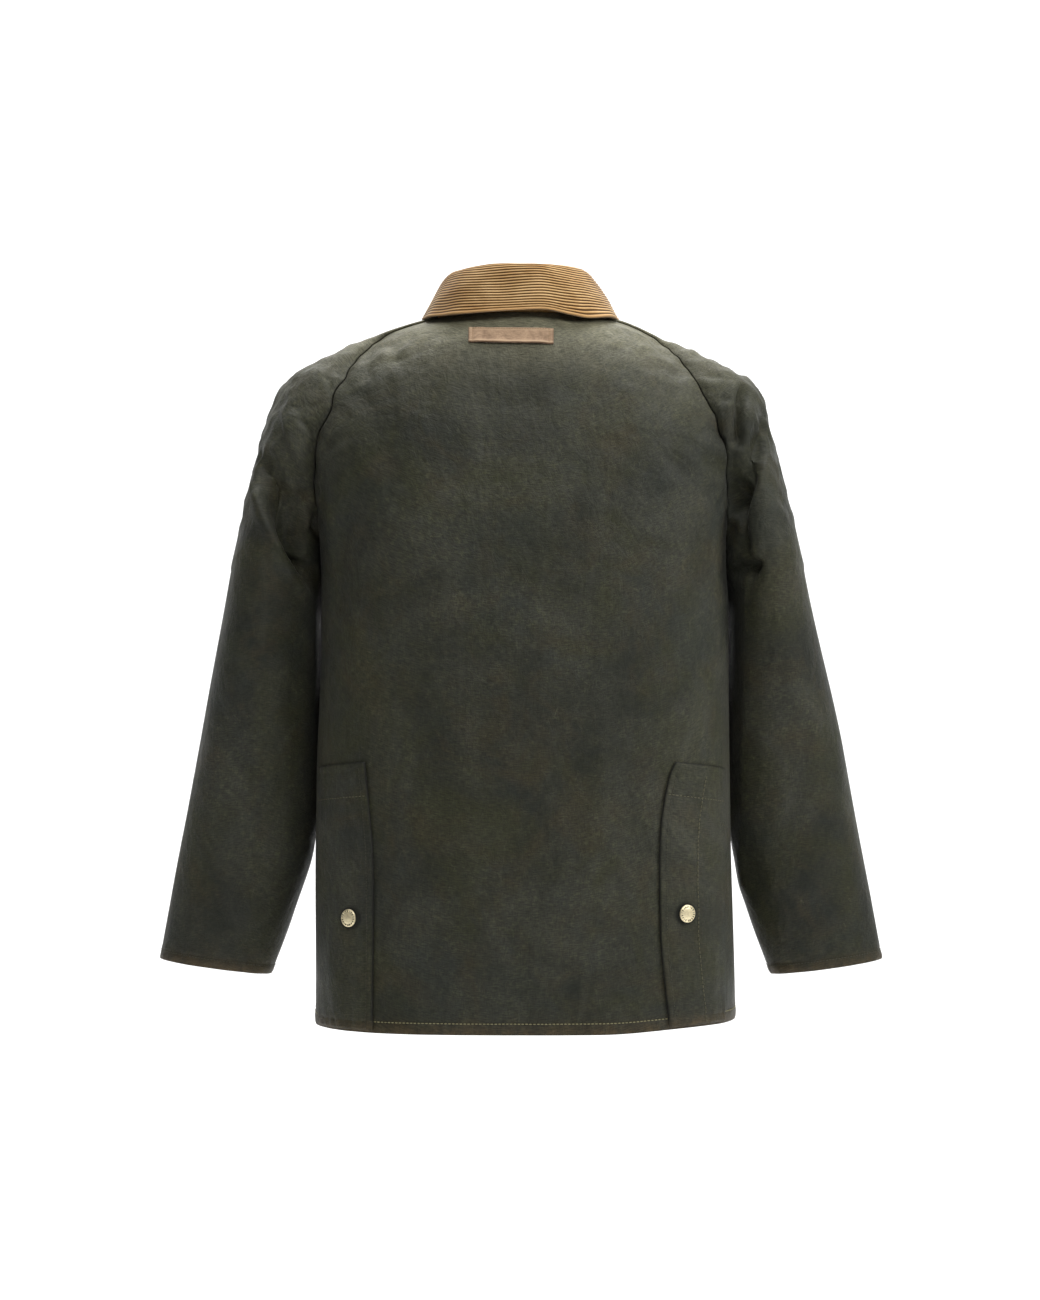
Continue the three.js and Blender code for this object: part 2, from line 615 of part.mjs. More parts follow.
function collar() {
  const shares = Array.from({ length: COLLAR_ROWS + 1 }, (_, i) => 1 - (2 * i) / COLLAR_ROWS);
  const curves = shares.map((at) => collarSection(at));
  const gridOf = (count) => curves.map((curve) => spaced((t) => curve.getPoint(t), count));
  const face = panelOf(gridOf(2 * WALES));
  const raised = face.points.map((row, i) =>
    row.map((p, j) => p.clone().addScaledVector(face.normals[i][j], j % 2 ? WALE_HEIGHT : 0)),
  );
  const lining = panelOf(gridOf(COLLAR_INNER_COLUMNS));
  return wall(raised, offset(lining.points, lining.normals, -COLLAR_CLOTH));
}

/** A strip of the zip behind or between the front edges, worked out past the edge of the left front. */
function zipStrip(stripRows, widths, top, thickness) {
  const at = (lift) =>
    stripRows.map((row) =>
      widths.map((x) => {
        const point = onPanel(frontLeft, row, columnAt(frontLeft, row, Math.abs(x)), lift);
        return x < 0 ? mirrored(point) : point;
      }),
    );
  return wall(at(top), at(top - thickness));
}

const tape = (side) =>
  zipStrip(
    back.points.map((_, row) => row),
    side > 0 ? [TAPE.outX, SEAM / 2] : [-SEAM / 2, -TAPE.outX],
    -CLOTH - SEAM,
    TAPE.cloth,
  );
const chain = () =>
  zipStrip(
    wholeBetween(CHAIN.fromRow, rows - 1 - CHAIN.endsAbove),
    [CHAIN.halfWidth, -CHAIN.halfWidth],
    -CHAIN.below,
    CHAIN.thickness,
  );

/** The place of the slider: x across, y up along the zip, z out of the front. */
function sliderSeat() {
  const upper = Math.floor(SLIDER.row);
  const middle = (row) => onPanel(frontLeft, row, columnAt(frontLeft, row, 0), 0).setX(0);
  const up = middle(upper).sub(middle(upper + 1)).normalize();
  const across = new THREE.Vector3(1, 0, 0);
  return new THREE.Matrix4()
    .makeBasis(across, up, across.clone().cross(up))
    .setPosition(middle(SLIDER.row));
}

const outline = (corners) => new THREE.Shape(corners.map(([x, y]) => new THREE.Vector2(x, y)));

/** A shape drawn in x and y with a depth along z, half of it on each side. */
const slab = (shape, depth) => {
  const block = new THREE.ExtrudeGeometry(shape, { depth, bevelEnabled: false, curveSegments: 12 });
  return block.translate(0, 0, -depth / 2);
};

/** One solid from several geometries that touch. */
function joined(...geometries) {
  const solids = geometries.map((geometry) => {
    const merged = bare(geometry);
    return new wasm.Manifold(
      new wasm.Mesh({
        numProp: 3,
        vertProperties: new Float32Array(merged.attributes.position.array),
        triVerts: new Uint32Array(merged.index.array),
      }),
    );
  });
  const mesh = solids.reduce((a, b) => a.add(b)).getMesh();
  return new THREE.BufferGeometry()
    .setAttribute("position", new THREE.BufferAttribute(new Float32Array(mesh.vertProperties), 3))
    .setIndex(new THREE.BufferAttribute(new Uint32Array(mesh.triVerts), 1));
}

/** The slider: a channel over the chain, and a bridge with a tunnel for the pull's bar. */
function slider() {
  const { length, halfWidth: w, flangeIn, flangeFoot } = SLIDER;
  const channel = outline([
    [-w, flangeFoot], [-flangeIn, flangeFoot], [-flangeIn, PLATE.foot], [flangeIn, PLATE.foot],
    [flangeIn, flangeFoot], [w, flangeFoot], [w, PLATE.top], [-w, PLATE.top],
  ]);
  const half = BRIDGE.tunnel / 2;
  const end = half + BRIDGE.leg;
  const top = PLATE.top + BRIDGE.tunnel;
  const arch = outline([
    [-end, PLATE.foot], [-half, PLATE.foot], [-half, top], [half, top],
    [half, PLATE.foot], [end, PLATE.foot], [end, top + BRIDGE.bar], [-end, top + BRIDGE.bar],
  ]);
  return joined(
    slab(channel, length).rotateX(Math.PI / 2),
    slab(arch, BRIDGE.width).rotateX(Math.PI / 2).rotateZ(Math.PI / 2),
  );
}

/** The pull: a tab with a window round the bridge, hung on a round bar. Its bar lies on the x axis. */
function pull() {
  const { barRadius: r, windowHalf, halfWidth: w, windowEnd, length } = PULL;
  const tab = new THREE.Shape();
  tab.moveTo(w, 0);
  tab.lineTo(windowHalf, 0);
  tab.lineTo(windowHalf, -windowEnd);
  tab.lineTo(-windowHalf, -windowEnd);
  tab.lineTo(-windowHalf, 0);
  tab.lineTo(-w, 0);
  tab.lineTo(-w, w - length);
  tab.absarc(0, w - length, w, Math.PI, 2 * Math.PI);
  tab.closePath();
  const bar = new THREE.CylinderGeometry(r, r, 2 * w, 20).rotateZ(Math.PI / 2);
  return joined(slab(tab, 2 * r), bar);
}

const group = new THREE.Group();

/** Adds a named piece, at a place of its own where it has one. */
function add(name, geometry, material, place = new THREE.Matrix4()) {
  const mesh = new THREE.Mesh(geometry, material);
  mesh.name = name;
  mesh.applyMatrix4(place);
  group.add(mesh);
}

add("back", panelWall(back), WAXED);
add("front_left", panelWall(frontLeft), WAXED);
add("front_right", panelWall(frontRight), WAXED);
add("sleeve_left", panelWall(sleeveLeft), WAXED);
add("sleeve_right", panelWall(sleeveRight), WAXED);
add("collar", collar(), CORDUROY);
add("label_patch", labelPatch(), PATCH);
for (const [name, side] of [["left", 1], ["right", -1]]) {
  const stud = STUDS[name];
  add(`vent_flap_${name}`, ventFlap(side), WAXED);
  add(`vent_stud_${name}`, studCap(), BRASS, seat(back, side * stud.x, stud.z, FLAP_LIFT + CLOTH + SEAM));
  add(`zip_tape_${name}`, tape(side), TAPE_CLOTH);
}
add("zip_chain", chain(), BRASS);
add("zip_slider", slider(), BRASS, sliderSeat());
const pullHeight = PLATE.top + BRIDGE.tunnel / 2;
add("zip_pull", pull(), BRASS, sliderSeat().multiply(new THREE.Matrix4().makeTranslation(0, 0, pullHeight)));

export default group;
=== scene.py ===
"""A waxed cotton country jacket seen from behind, filled out with no wearer. The cloth panels are worked out from the
same sizes as the frame's solids, in millimetres, and made into metres where each mesh is built."""
import math
import bmesh
import bpy
import numpy as np
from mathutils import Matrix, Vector


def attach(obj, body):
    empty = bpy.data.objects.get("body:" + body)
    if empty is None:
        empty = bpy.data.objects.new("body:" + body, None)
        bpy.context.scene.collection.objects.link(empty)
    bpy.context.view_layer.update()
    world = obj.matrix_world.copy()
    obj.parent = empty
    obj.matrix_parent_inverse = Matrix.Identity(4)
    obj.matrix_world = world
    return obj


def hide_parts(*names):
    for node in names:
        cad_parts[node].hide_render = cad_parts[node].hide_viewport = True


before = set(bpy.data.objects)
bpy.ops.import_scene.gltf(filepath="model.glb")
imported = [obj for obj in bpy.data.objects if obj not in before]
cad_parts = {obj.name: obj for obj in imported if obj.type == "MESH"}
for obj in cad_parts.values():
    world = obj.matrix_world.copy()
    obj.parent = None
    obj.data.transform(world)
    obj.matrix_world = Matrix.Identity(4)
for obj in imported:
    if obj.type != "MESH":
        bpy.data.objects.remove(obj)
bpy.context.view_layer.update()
MM = 0.001

# Sizes of the garment, in millimetres
CLOTH = 2.0
SEAM = 0.3
HEM_Z = -712.0
UNDERARM_Z = -262.0
NECK_BACK_Z = 3.0
NECK_FRONT_Z = -62.0
ZIP_OPENING = 6.0
FRONT_NECK_BOW = 1.25
BODY_POWER = 2.7
SLEEVE_POWER = 2.2


def table(names, *rows):
    """A table with named columns, as a dict of arrays. Its first column is the one that the others are read against."""
    return dict(zip(names.split(), np.array(rows, float).T))


def through(columns, value):
    """A curve through one column against the table's first: a monotone cubic, so it never overshoots a row."""
    x = next(iter(columns.values()))
    y = columns[value]
    rise = np.diff(y) / np.diff(x)
    before, after = rise[:-1], rise[1:]
    same = before * after > 0
    middle = np.where(same, 2 * before * after / np.where(same, before + after, 1), 0)
    slope = np.concatenate([rise[:1], middle, rise[-1:]])

    def curve(at):
        at = np.asarray(at, float)
        i = np.clip(np.searchsorted(x, at, side="right") - 1, 0, len(x) - 2)
        step = x[i + 1] - x[i]
        t = np.clip((at - x[i]) / step, 0, 1)
        climb = y[i + 1] - y[i]
        bend = ((1 - t) * slope[i] - t * slope[i + 1]) * step + (2 * t - 1) * climb
        return y[i] + climb * t + t * (1 - t) * bend

    return curve


def curves(columns):
    """A curve for each column of a table but its first."""
    return {name: through(columns, name) for name in list(columns)[1:]}


# The two raglan seams of one side from the neck (0) to the underarm (1), the sleeve's top ridge between them, its
# half depth, and how far the body's sections turn before they meet the seam, in degrees.
RAGLAN = table(
    "at back_x back_y back_z front_x front_y front_z ridge_x ridge_z half_depth skew back_turn front_turn power",
    (0, 84, 18, 2, 82, -35, -10, 88, 1, 28, 0.22, 72, 68, 2),
    (0.17, 138, 12, -16, 130, -50, -32, 148, -18, 33, 0.25, 66, 64, 2.1),
    (0.3, 166, 38, -43, 156, -72, -62, 205, -43, 58, 0.18, 62, 62, 2.2),
    (0.42, 179, 57, -65, 174, -87, -96, 241, -67, 75, 0.22, 60, 62, 2.3),
    (0.55, 192, 66, -95, 187, -93, -140, 258, -101, 84, 0.28, 66, 66, 2.4),
    (0.7, 205, 60, -131, 197, -86, -182, 269, -142, 87, 0.35, 78, 76, 2.5),
    (0.85, 208, 38, -185, 204, -62, -225, 281, -194, 89, 0.38, 88, 86, 2.6),
    (1, 207, -12, -262, 207, -12, -262, 297, -262, 89, 0.36, 90, 90, 2.7),
)
# The sleeve from the underarm (1) to the cuff (2)
SLEEVE = table(
    "at outer_x outer_z inner_x inner_z middle_y half_depth skew",
    (1, 296, -262, 207, -262, -12, 89, 0.36),
    (1.1, 304, -300, 212, -298, -20, 86, 0.24),
    (1.3, 319, -372, 211, -368, -31, 79, 0.1),
    (1.5, 333, -442, 210, -436, -42, 70, 0.03),
    (1.72, 351, -532, 213, -528, -56, 57, 0),
    (1.88, 364, -597, 236, -608, -62, 48, 0),
    (2, 375, -654, 259, -670, -66, 41, 0),
)
# The middle lines of the back and the front, and the side seams, against height
PROFILE = table(
    "z back_y front_y side_x side_y",
    (-712, 142, -140, 211, -6),
    (-600, 141, -139, 210, -7),
    (-450, 139, -138, 208, -9),
    (-300, 137, -135, 207, -11),
    (-240, 134, -131, 207, -12),
    (-180, 129, -124, 207, -12),
    (-130, 122, -113, 207, -12),
    (-90, 114, -98, 207, -12),
    (-62, 107, -84, 207, -12),
    (-35, 98, -72, 207, -12),
    (-12, 85, -64, 207, -12),
    (3, 72, -60, 207, -12),
)
# The collar's fold line and the free edge of its fall, from the right front (-1) over the back (0) to the left (1)
COLLAR_HALF = (
    (0.2, 37, 59, 51, 57, 79, 2.5),
    (0.4, 65, 22, 49, 94, 36, 5),
    (0.55, 71, -10, 45, 101, -8, 5),
    (0.7, 66, -44, 26, 98, -64, -18),
    (0.85, 42, -78, -6, 82, -104, -66),
    (1, 9, -96, -35, 50, -118, -98),
)
COLLAR = table(
    "at fold_x fold_y fold_z edge_x edge_y edge_z",
    *[(-at, -fx, fy, fz, -ex, ey, ez) for at, fx, fy, fz, ex, ey, ez in reversed(COLLAR_HALF)],
    (0, 0, 70, 51, 0, 87, 3.5),
    *COLLAR_HALF,
)
COLLAR_CLOTH = 2.2
COLLAR_DROP = 2.5
# How the fall's free edge hangs below (-) or above its even line, across the back
FALL = table(
    "x z",
    (-110, -2), (-94, -3.5), (-69, -5), (-50, -2.5), (-22, 1.8), (7, 0.5), (55, -1), (98, -3), (110, -2),
)
FOLD_RADIUS = 5.0
FALL_CROWN = 3.0
WALES = 37
WALE_HEIGHT = 0.75

# The free edges of the vents' flaps, and the line where they are sewn on
VENTS = table(
    "z left_x right_x",
    (-710, 145.3, 146),
    (-660, 145, 140),
    (-610, 144.7, 136.3),
    (-568, 144.5, 135.7),
    (-534, 145.2, 135.8),
    (-504, 147.6, 137.4),
    (-477, 150, 141.4),
    (-456, 152.2, 146.5),
    (-445, 153.3, 151.8),
)
VENT_SEWN_X = 202.0
STUD_SPREAD = 1.05
FLAP_LIFT = 0.6
FLAP_END = 2.5
FLAP_SLOPE = 8.0
STUDS = {"left": (168.5, -600.0), "right": (-162.5, -595.0)}
LABEL = {"from_x": -32.0, "to_x": 52.0, "top_z": -14.0, "bottom_z": -30.0, "lift": 0.6, "cloth": 1.0,
         "askew": 0.8}

# Folds and creases, seen from the back (face 1) or the front (face -1), in millimetres. The first rows are the
# large ones that the solids have too. Each runs from a place, where it is faint, over a middle place to its end.
# Its soft side lies to the right of that way and its sharp side to the left, where the cloth also rises by the ridge.
CREASE = "face from_x from_z over_x over_z to_x to_z soft sharp depth ridge"
LEFT_SLEEVE_CREASES = table(
    CREASE,
    (1, 264, -132, 243, -207, 196, -285, 30, 4.5, 26, 5),
    (1, 244, -70, 226, -138, 200, -182, 20, 3.5, -4.5, 0),
    (1, 230, -160, 218, -210, 200, -268, 16, 12, 9, 0),
    (1, 221, -102, 213, -113, 203, -124, 3.5, 2.2, 2.6, 0.8),
    (1, 197, -58, 192, -68, 191, -80, 3.5, 2.2, 1.8, 0.6),
    (1, 187, -46, 190, -56, 195, -64, 2.6, 4, 1.3, 0.5),
    (1, 200, -84, 206, -90, 214, -92, 3, 4, 1.1, 0.4),
    (1, 230, -300, 252, -346, 284, -404, 18, 8, 1.8, 0.7),
    (1, 318, -360, 290, -420, 262, -470, 18, 10, 1.6, 0.6),
    (1, 220, -430, 250, -492, 268, -560, 17, 10, 1.5, 0.5),
    (1, 340, -560, 306, -604, 270, -640, 14, 8, 1.3, 0.6),
    (-1, 270, -140, 244, -190, 206, -268, 19, 6, 11, 3),
    (-1, 262, -76, 236, -130, 204, -190, 13, 5, 3, 1),
    (-1, 304, -322, 268, -350, 226, -372, 14, 6, 7, 2),
    (-1, 312, -420, 270, -440, 226, -446, 14, 8, 2.4, 0.9),
    (-1, 330, -512, 290, -530, 240, -540, 13, 8, 2, 0.8),
)
RIGHT_SLEEVE_CREASES = table(
    CREASE,
    (1, -224, -66, -217, -94, -211, -136, 9, 3, 13, 1.2),
    (1, -256, -92, -236, -154, -204, -216, 5, 22, 15, 3),
    (1, -212, -158, -215, -212, -226, -262, 8, 13, 14, 4),
    (1, -246, -247, -224, -250, -196, -257, 12, 4, 13, 3),
    (1, -236, -246, -223, -276, -212, -312, 10, 4.5, 4, 1.2),
    (1, -170, -36, -180, -38, -190, -34, 5, 4, 1.6, 0.6),
    (1, -184, -54, -192, -60, -202, -58, 5, 3.5, 1.8, 0.7),
    (1, -198, -80, -204, -84, -210, -82, 4, 3, 1.3, 0.5),
    (1, -262, -262, -280, -330, -300, -400, 18, 10, 1.8, 0.6),
    (1, -214, -498, -226, -540, -246, -584, 14, 7, 3, 0.9),
    (1, -300, -440, -276, -500, -262, -560, 17, 10, 1.6, 0.6),
    (1, -330, -560, -300, -600, -270, -640, 14, 8, 1.3, 0.6),
    (-1, -262, -130, -240, -182, -212, -250, 6, 19, 11, 3),
    (-1, -258, -76, -232, -130, -206, -190, 5, 13, 3, 1),
    (-1, -300, -310, -264, -340, -224, -358, 6, 14, 7, 2),
    (-1, -310, -412, -268, -436, -226, -440, 8, 14, 2.4, 0.9),
    (-1, -328, -520, -288, -534, -240, -546, 8, 13, 2, 0.8),
)
BODY_CREASES = table(
    CREASE,
    (1, 183, -150, 180, -236, 186, -306, 13, 10, 3.2, 1.4),
    (1, 205, -116, 196, -128, 184, -134, 4, 6, 1.6, 0.5),
    (1, 160, -70, 132, -130, 116, -214, 22, 15, 2, 0.5),
    (1, -160, -66, -138, -132, -124, -220, 22, 15, 2, 0.5),
    (1, -207, -282, -198, -301, -184, -312, 6, 4, 2, 0.8),
    (1, -204, -166, -196, -176, -184, -180, 5, 4, 1.4, 0.5),
    (1, 206, -262, 176, -296, 140, -322, 10, 7, 1.8, 0.6),
    (1, -190, -180, -180, -240, -172, -300, 14, 10, 2.2, 0.6),
    (1, 66, -60, 30, -88, -30, -92, 17, 11, 1.4, 0.4),
    (1, 60, -180, 50, -300, 44, -420, 32, 24, 2, 0.4),
    (1, -46, -240, -52, -380, -62, -540, 32, 24, 2.2, 0.4),
    (1, 104, -360, 96, -500, 92, -650, 28, 22, 2, 0.4),
    (1, -96, -330, -106, -470, -112, -610, 26, 20, 2, 0.4),
    (1, 12, -470, 16, -580, 16, -700, 28, 22, 2, 0.4),
    (1, -128, -560, -150, -600, -176, -616, 10, 8, 1.2, 0.4),
    (1, 180, -560, 160, -610, 150, -690, 14, 9, 1.2, 0.4),
    (-1, 160, -120, 130, -170, 112, -236, 18, 12, 2.2, 0.6),
    (-1, -160, -120, -132, -172, -110, -240, 18, 12, 2.2, 0.6),
    (-1, 196, -210, 172, -280, 146, -330, 13, 9, 3, 1),
    (-1, -196, -214, -172, -272, -148, -326, 13, 9, 2.8, 1),
    (-1, 92, -300, 98, -450, 104, -610, 26, 18, 2.2, 0.5),
    (-1, -92, -320, -88, -460, -82, -596, 26, 18, 2.2, 0.5),
)


def ease(low, high, x):
    """0 up to low, 1 from high on, and the smooth cubic between."""
    t = np.clip((x - low) / (high - low), 0, 1)
    return t * t * (3 - 2 * t)


def rounded(value, power):
    """A sine or cosine raised to 2 / power with its sign kept: a power of 2 gives a round section, more a fuller one."""
    return np.sign(value) * np.abs(value) ** (2 / power)


def unit(v):
    return v / np.maximum(np.linalg.norm(v, axis=-1, keepdims=True), 1e-9)


# Distances from a sewn edge, where a panel's columns lie close together
BY_EDGE = np.array([0.45, 0.95, 1.6, 2.5, 3.7, 5.2, 7.0])


def between(start, end, count, by_start=False, by_end=False):
    """Distances from start to end in count steps: close together at the ends asked for, and even between."""
    near, far = start + BY_EDGE * by_start, end - BY_EDGE[::-1] * by_end
    inner = count + 1 - len(BY_EDGE) * (by_start + by_end)
    first = [start, *near] if by_start else [start]
    last = [*far, end] if by_end else [end]
    middle = np.linspace(first[-1], last[0], inner)[1:-1]
    return np.concatenate([first, middle, last])


def spaced(lines, count, start=0.0, by_start=False, by_end=False):
    """Each row of points resampled to count steps along its own length, from the distance start to its end."""
    length = np.linalg.norm(np.diff(lines, axis=1), axis=2)
    along = np.concatenate([np.zeros((len(lines), 1)), np.cumsum(length, axis=1)], axis=1)
    made = np.empty((len(lines), count + 1, 3))
    for i, (row, at) in enumerate(zip(lines, along)):
        want = between(start, at[-1], count, by_start, by_end)
        made[i] = np.stack([np.interp(want, at, row[:, k]) for k in range(3)], axis=1)
    return made


raglan = curves(RAGLAN)
arm = curves(SLEEVE)
profile = curves(PROFILE)
collar_line = curves(COLLAR)
fall_drop = through(FALL, "z")
FINE = 400


def body_lines(face, levels):
    """Half sections of the body from the middle line to the seam: x follows a rounded sine of the turn, and y and z
    go from the seam to the middle line by a rounded cosine. levels run from 0, the neck, over 1 to 2, the hem."""
    side = "back" if face > 0 else "front"
    level = levels[:, None]
    upper = np.minimum(level, 1)
    low = level > 1
    z = np.where(low, UNDERARM_Z + (HEM_Z - UNDERARM_Z) * (level - 1), raglan[side + "_z"](upper))
    edge_x = np.where(low, profile["side_x"](z), raglan[side + "_x"](upper))
    edge_y = np.where(low, profile["side_y"](z), raglan[side + "_y"](upper))
    neck_z = NECK_BACK_Z if face > 0 else NECK_FRONT_Z
    middle_z = z + (neck_z - RAGLAN[side + "_z"][0]) * (1 - upper)
    middle_y = profile[side + "_y"](middle_z)
    turn = np.radians(raglan[side + "_turn"](upper))
    power = np.where(low, BODY_POWER, raglan["power"](upper))
    u = np.linspace(0, 1, FINE + 1)[None]
    across = rounded(np.sin(u * turn), power) / rounded(np.sin(turn), power)
    end = rounded(np.cos(turn), power)
    inward = np.maximum(0, (rounded(np.cos(u * turn), power) - end) / (1 - end))
    bow = 1 if face > 0 else FRONT_NECK_BOW
    y = edge_y + (middle_y - edge_y) * inward
    return np.stack([edge_x * across, y, z + (middle_z - z) * inward**bow], axis=2)


def sleeve_lines(levels):
    """Sections of the left sleeve from the back seam over the outside to the front seam: an oval about the line from
    its inner to its outer edge. Above the underarm it is cut off at both seams, and below it the loop is closed."""
    level = levels[:, None]
    upper = level < 1
    back = np.stack([raglan["back_" + k](level) for k in "xyz"], axis=2)
    front = np.stack([raglan["front_" + k](level) for k in "xyz"], axis=2)
    low_inner = np.stack([arm["inner_x"](level), arm["middle_y"](level), arm["inner_z"](level)], axis=2)
    inner = np.where(upper[..., None], (back + front) / 2, low_inner)
    outer_x = np.where(upper, raglan["ridge_x"](level), arm["outer_x"](level))
    outer_z = np.where(upper, raglan["ridge_z"](level), arm["outer_z"](level))
    outer = np.stack([outer_x, inner[..., 1], outer_z], axis=2)
    reach = np.linalg.norm(outer - inner, axis=2)
    outward = unit(outer - inner)
    skew = np.where(upper, raglan["skew"](level), arm["skew"](level))
    along = unit(np.stack([np.zeros_like(skew), np.ones_like(skew), skew], axis=2))
    chord = np.where(upper, np.linalg.norm(back - front, axis=2) / 2, 0)
    depth = np.maximum(np.where(upper, raglan["half_depth"](level), arm["half_depth"](level)), chord * 1.001)
    share = (1 - (chord / depth) ** SLEEVE_POWER) ** (1 / SLEEVE_POWER)
    half = reach / (1 + share)
    cut = np.arctan2((chord / depth) ** (SLEEVE_POWER / 2), -(share ** (SLEEVE_POWER / 2)))
    turn = np.where(upper, cut, np.pi)

    def oval(angle):
        far = (reach - half + half * rounded(np.cos(angle), SLEEVE_POWER))[..., None]
        wide = (depth * rounded(np.sin(angle), SLEEVE_POWER))[..., None]
        return inner + outward * far + along * wide

    u = np.linspace(0, 1, FINE + 1)[None]
    off_back = np.where(upper[..., None], back - oval(turn), 0)
    off_front = np.where(upper[..., None], front - oval(-turn), 0)
    near_back = ((1 - ease(0, 0.4, u)) ** 2)[..., None]
    near_front = (ease(0.6, 1, u) ** 2)[..., None]
    return oval(turn * (1 - 2 * u)) + off_back * near_back + off_front * near_front


def settled(p):
    """The jacket hangs a little unevenly: its right shoulder lies lower, its right sleeve closer in, and the right of
    the hem swings out and up."""
    x, y, z = np.moveaxis(p, -1, 0)
    r = np.abs(x)
    right = x < 0
    body = 1 - ease(214, 228, r)
    hem = ease(520, 690, -z) * ease(120, 200, r) * body
    sleeve = ease(215, 262, r) * ease(60, 110, -z) * (1 - ease(250, 440, -z))
    shoulder = ease(100, 150, r) * (1 - ease(40, 260, -z))
    neck = ease(45, 80, r) * ease(0, 22, z)
    rise = ease(80, 190, r) * ease(560, 712, -z) * body
    edge = ease(120, 200, r) * body
    left_in = 3.5 * edge * ease(150, 215, -z) * (1 - ease(330, 470, -z))
    right_out = 4.5 * edge * ease(215, 300, -z) * (1 - ease(520, 680, -z))
    moved_x = x + np.where(right, 7 * sleeve + 4.5 * neck - 7 * hem - right_out, -2 * hem - left_in)
    moved_z = z + np.where(right, 5 * rise - 5 * shoulder, 0)
    return np.stack([moved_x, y, moved_z], axis=-1)


def normals_of(grid, closed_from=None):
    """Outward directions of a grid of points, from the cross product of its steps across and down."""
    across = np.gradient(grid, axis=1)
    down = np.gradient(grid, axis=0)
    if closed_from is not None:
        wrap = (grid[closed_from:, 1] - grid[closed_from:, -2]) / 2
        across[closed_from:, 0] = across[closed_from:, -1] = wrap
        below = grid[closed_from + 1, 0] - grid[closed_from, 0]
        down[closed_from, 0] = down[closed_from, -1] = below
    return unit(np.cross(across, down))


def creased(p, normals, creases):
    """How deep the creases press in at each point. A crease is a curve through three places, seen from its face: deep
    on the curve, a wide bell curve to its soft side and a narrow one to its sharp side, where a ridge rises beyond it.
    It starts and ends gently."""
    total = np.zeros(p.shape[:2])
    q = p[..., [0, 2]]
    t = np.linspace(0, 1, 13)[:, None]
    for k in range(len(creases["face"])):
        one = {name: values[k] for name, values in creases.items()}
        a, over, b = [np.array([one[n + "_x"], one[n + "_z"]]) for n in ("from", "over", "to")]
        line = (1 - t) ** 2 * a + 2 * t * (1 - t) * (2 * over - (a + b) / 2) + t**2 * b
        reach = 3.2 * (one["soft"] + one["sharp"])
        near = np.all((q > line.min(0) - reach) & (q < line.max(0) + reach), axis=-1)
        near &= one["face"] * normals[..., 1] > 0.02
        if not near.any():
            continue
        here = q[near]
        best = np.full(len(here), 1e9)
        side, share = np.zeros(len(here)), np.zeros(len(here))
        for i in range(len(line) - 1):
            step = line[i + 1] - line[i]
            off = here - line[i]
            s = np.clip(off @ step / (step @ step), 0, 1)
            away = off - s[:, None] * step
            distance = np.linalg.norm(away, axis=1)
            closer = distance < best
            best = np.where(closer, distance, best)
            side = np.where(closer, np.sign(step[0] * away[:, 1] - step[1] * away[:, 0]), side)
            share = np.where(closer, (i + s) / (len(line) - 1), share)
        sharp = side > 0
        width = np.where(sharp, one["sharp"], one["soft"])
        fall = one["depth"] * np.exp(-((best / width) ** 2))
        beyond = (best - 2.6 * one["sharp"]) / (1.5 * one["sharp"])
        rise = sharp * one["ridge"] * np.exp(-(beyond**2)) * ease(0, one["sharp"], best)
        gently = ease(-0.03, 0.34, share) * (1 - ease(0.84, 1.03, share))
        facing = ease(0.12, 0.6, one["face"] * normals[..., 1][near])
        total[near] += (fall - rise) * gently * facing
    return total


def softly(p, seed, size, stretch=(1, 1, 1), waves=24):
    """A smooth random height from -1 to 1 over space: a mean of sine waves of about the given size."""
    chance = np.random.default_rng(seed)
    total = np.zeros(p.shape[:-1])
    for _ in range(waves):
        direction = unit(chance.normal(size=3)) * np.array(stretch)
        wave = direction * (2 * np.pi / (size * chance.uniform(0.7, 1.5)))
        total += np.sin(p @ wave + chance.uniform(0, 2 * np.pi))
    return total / np.sqrt(waves)


def lengths_along(grid, axis):
    """The distance of each grid point from the grid's first row (axis 0) or column (axis 1), along the cloth."""
    step = np.linalg.norm(np.diff(grid, axis=axis), axis=2)
    zero = np.zeros_like(np.take(grid[..., 0], [0], axis=axis))
    return np.concatenate([zero, np.cumsum(step, axis=axis)], axis=axis)


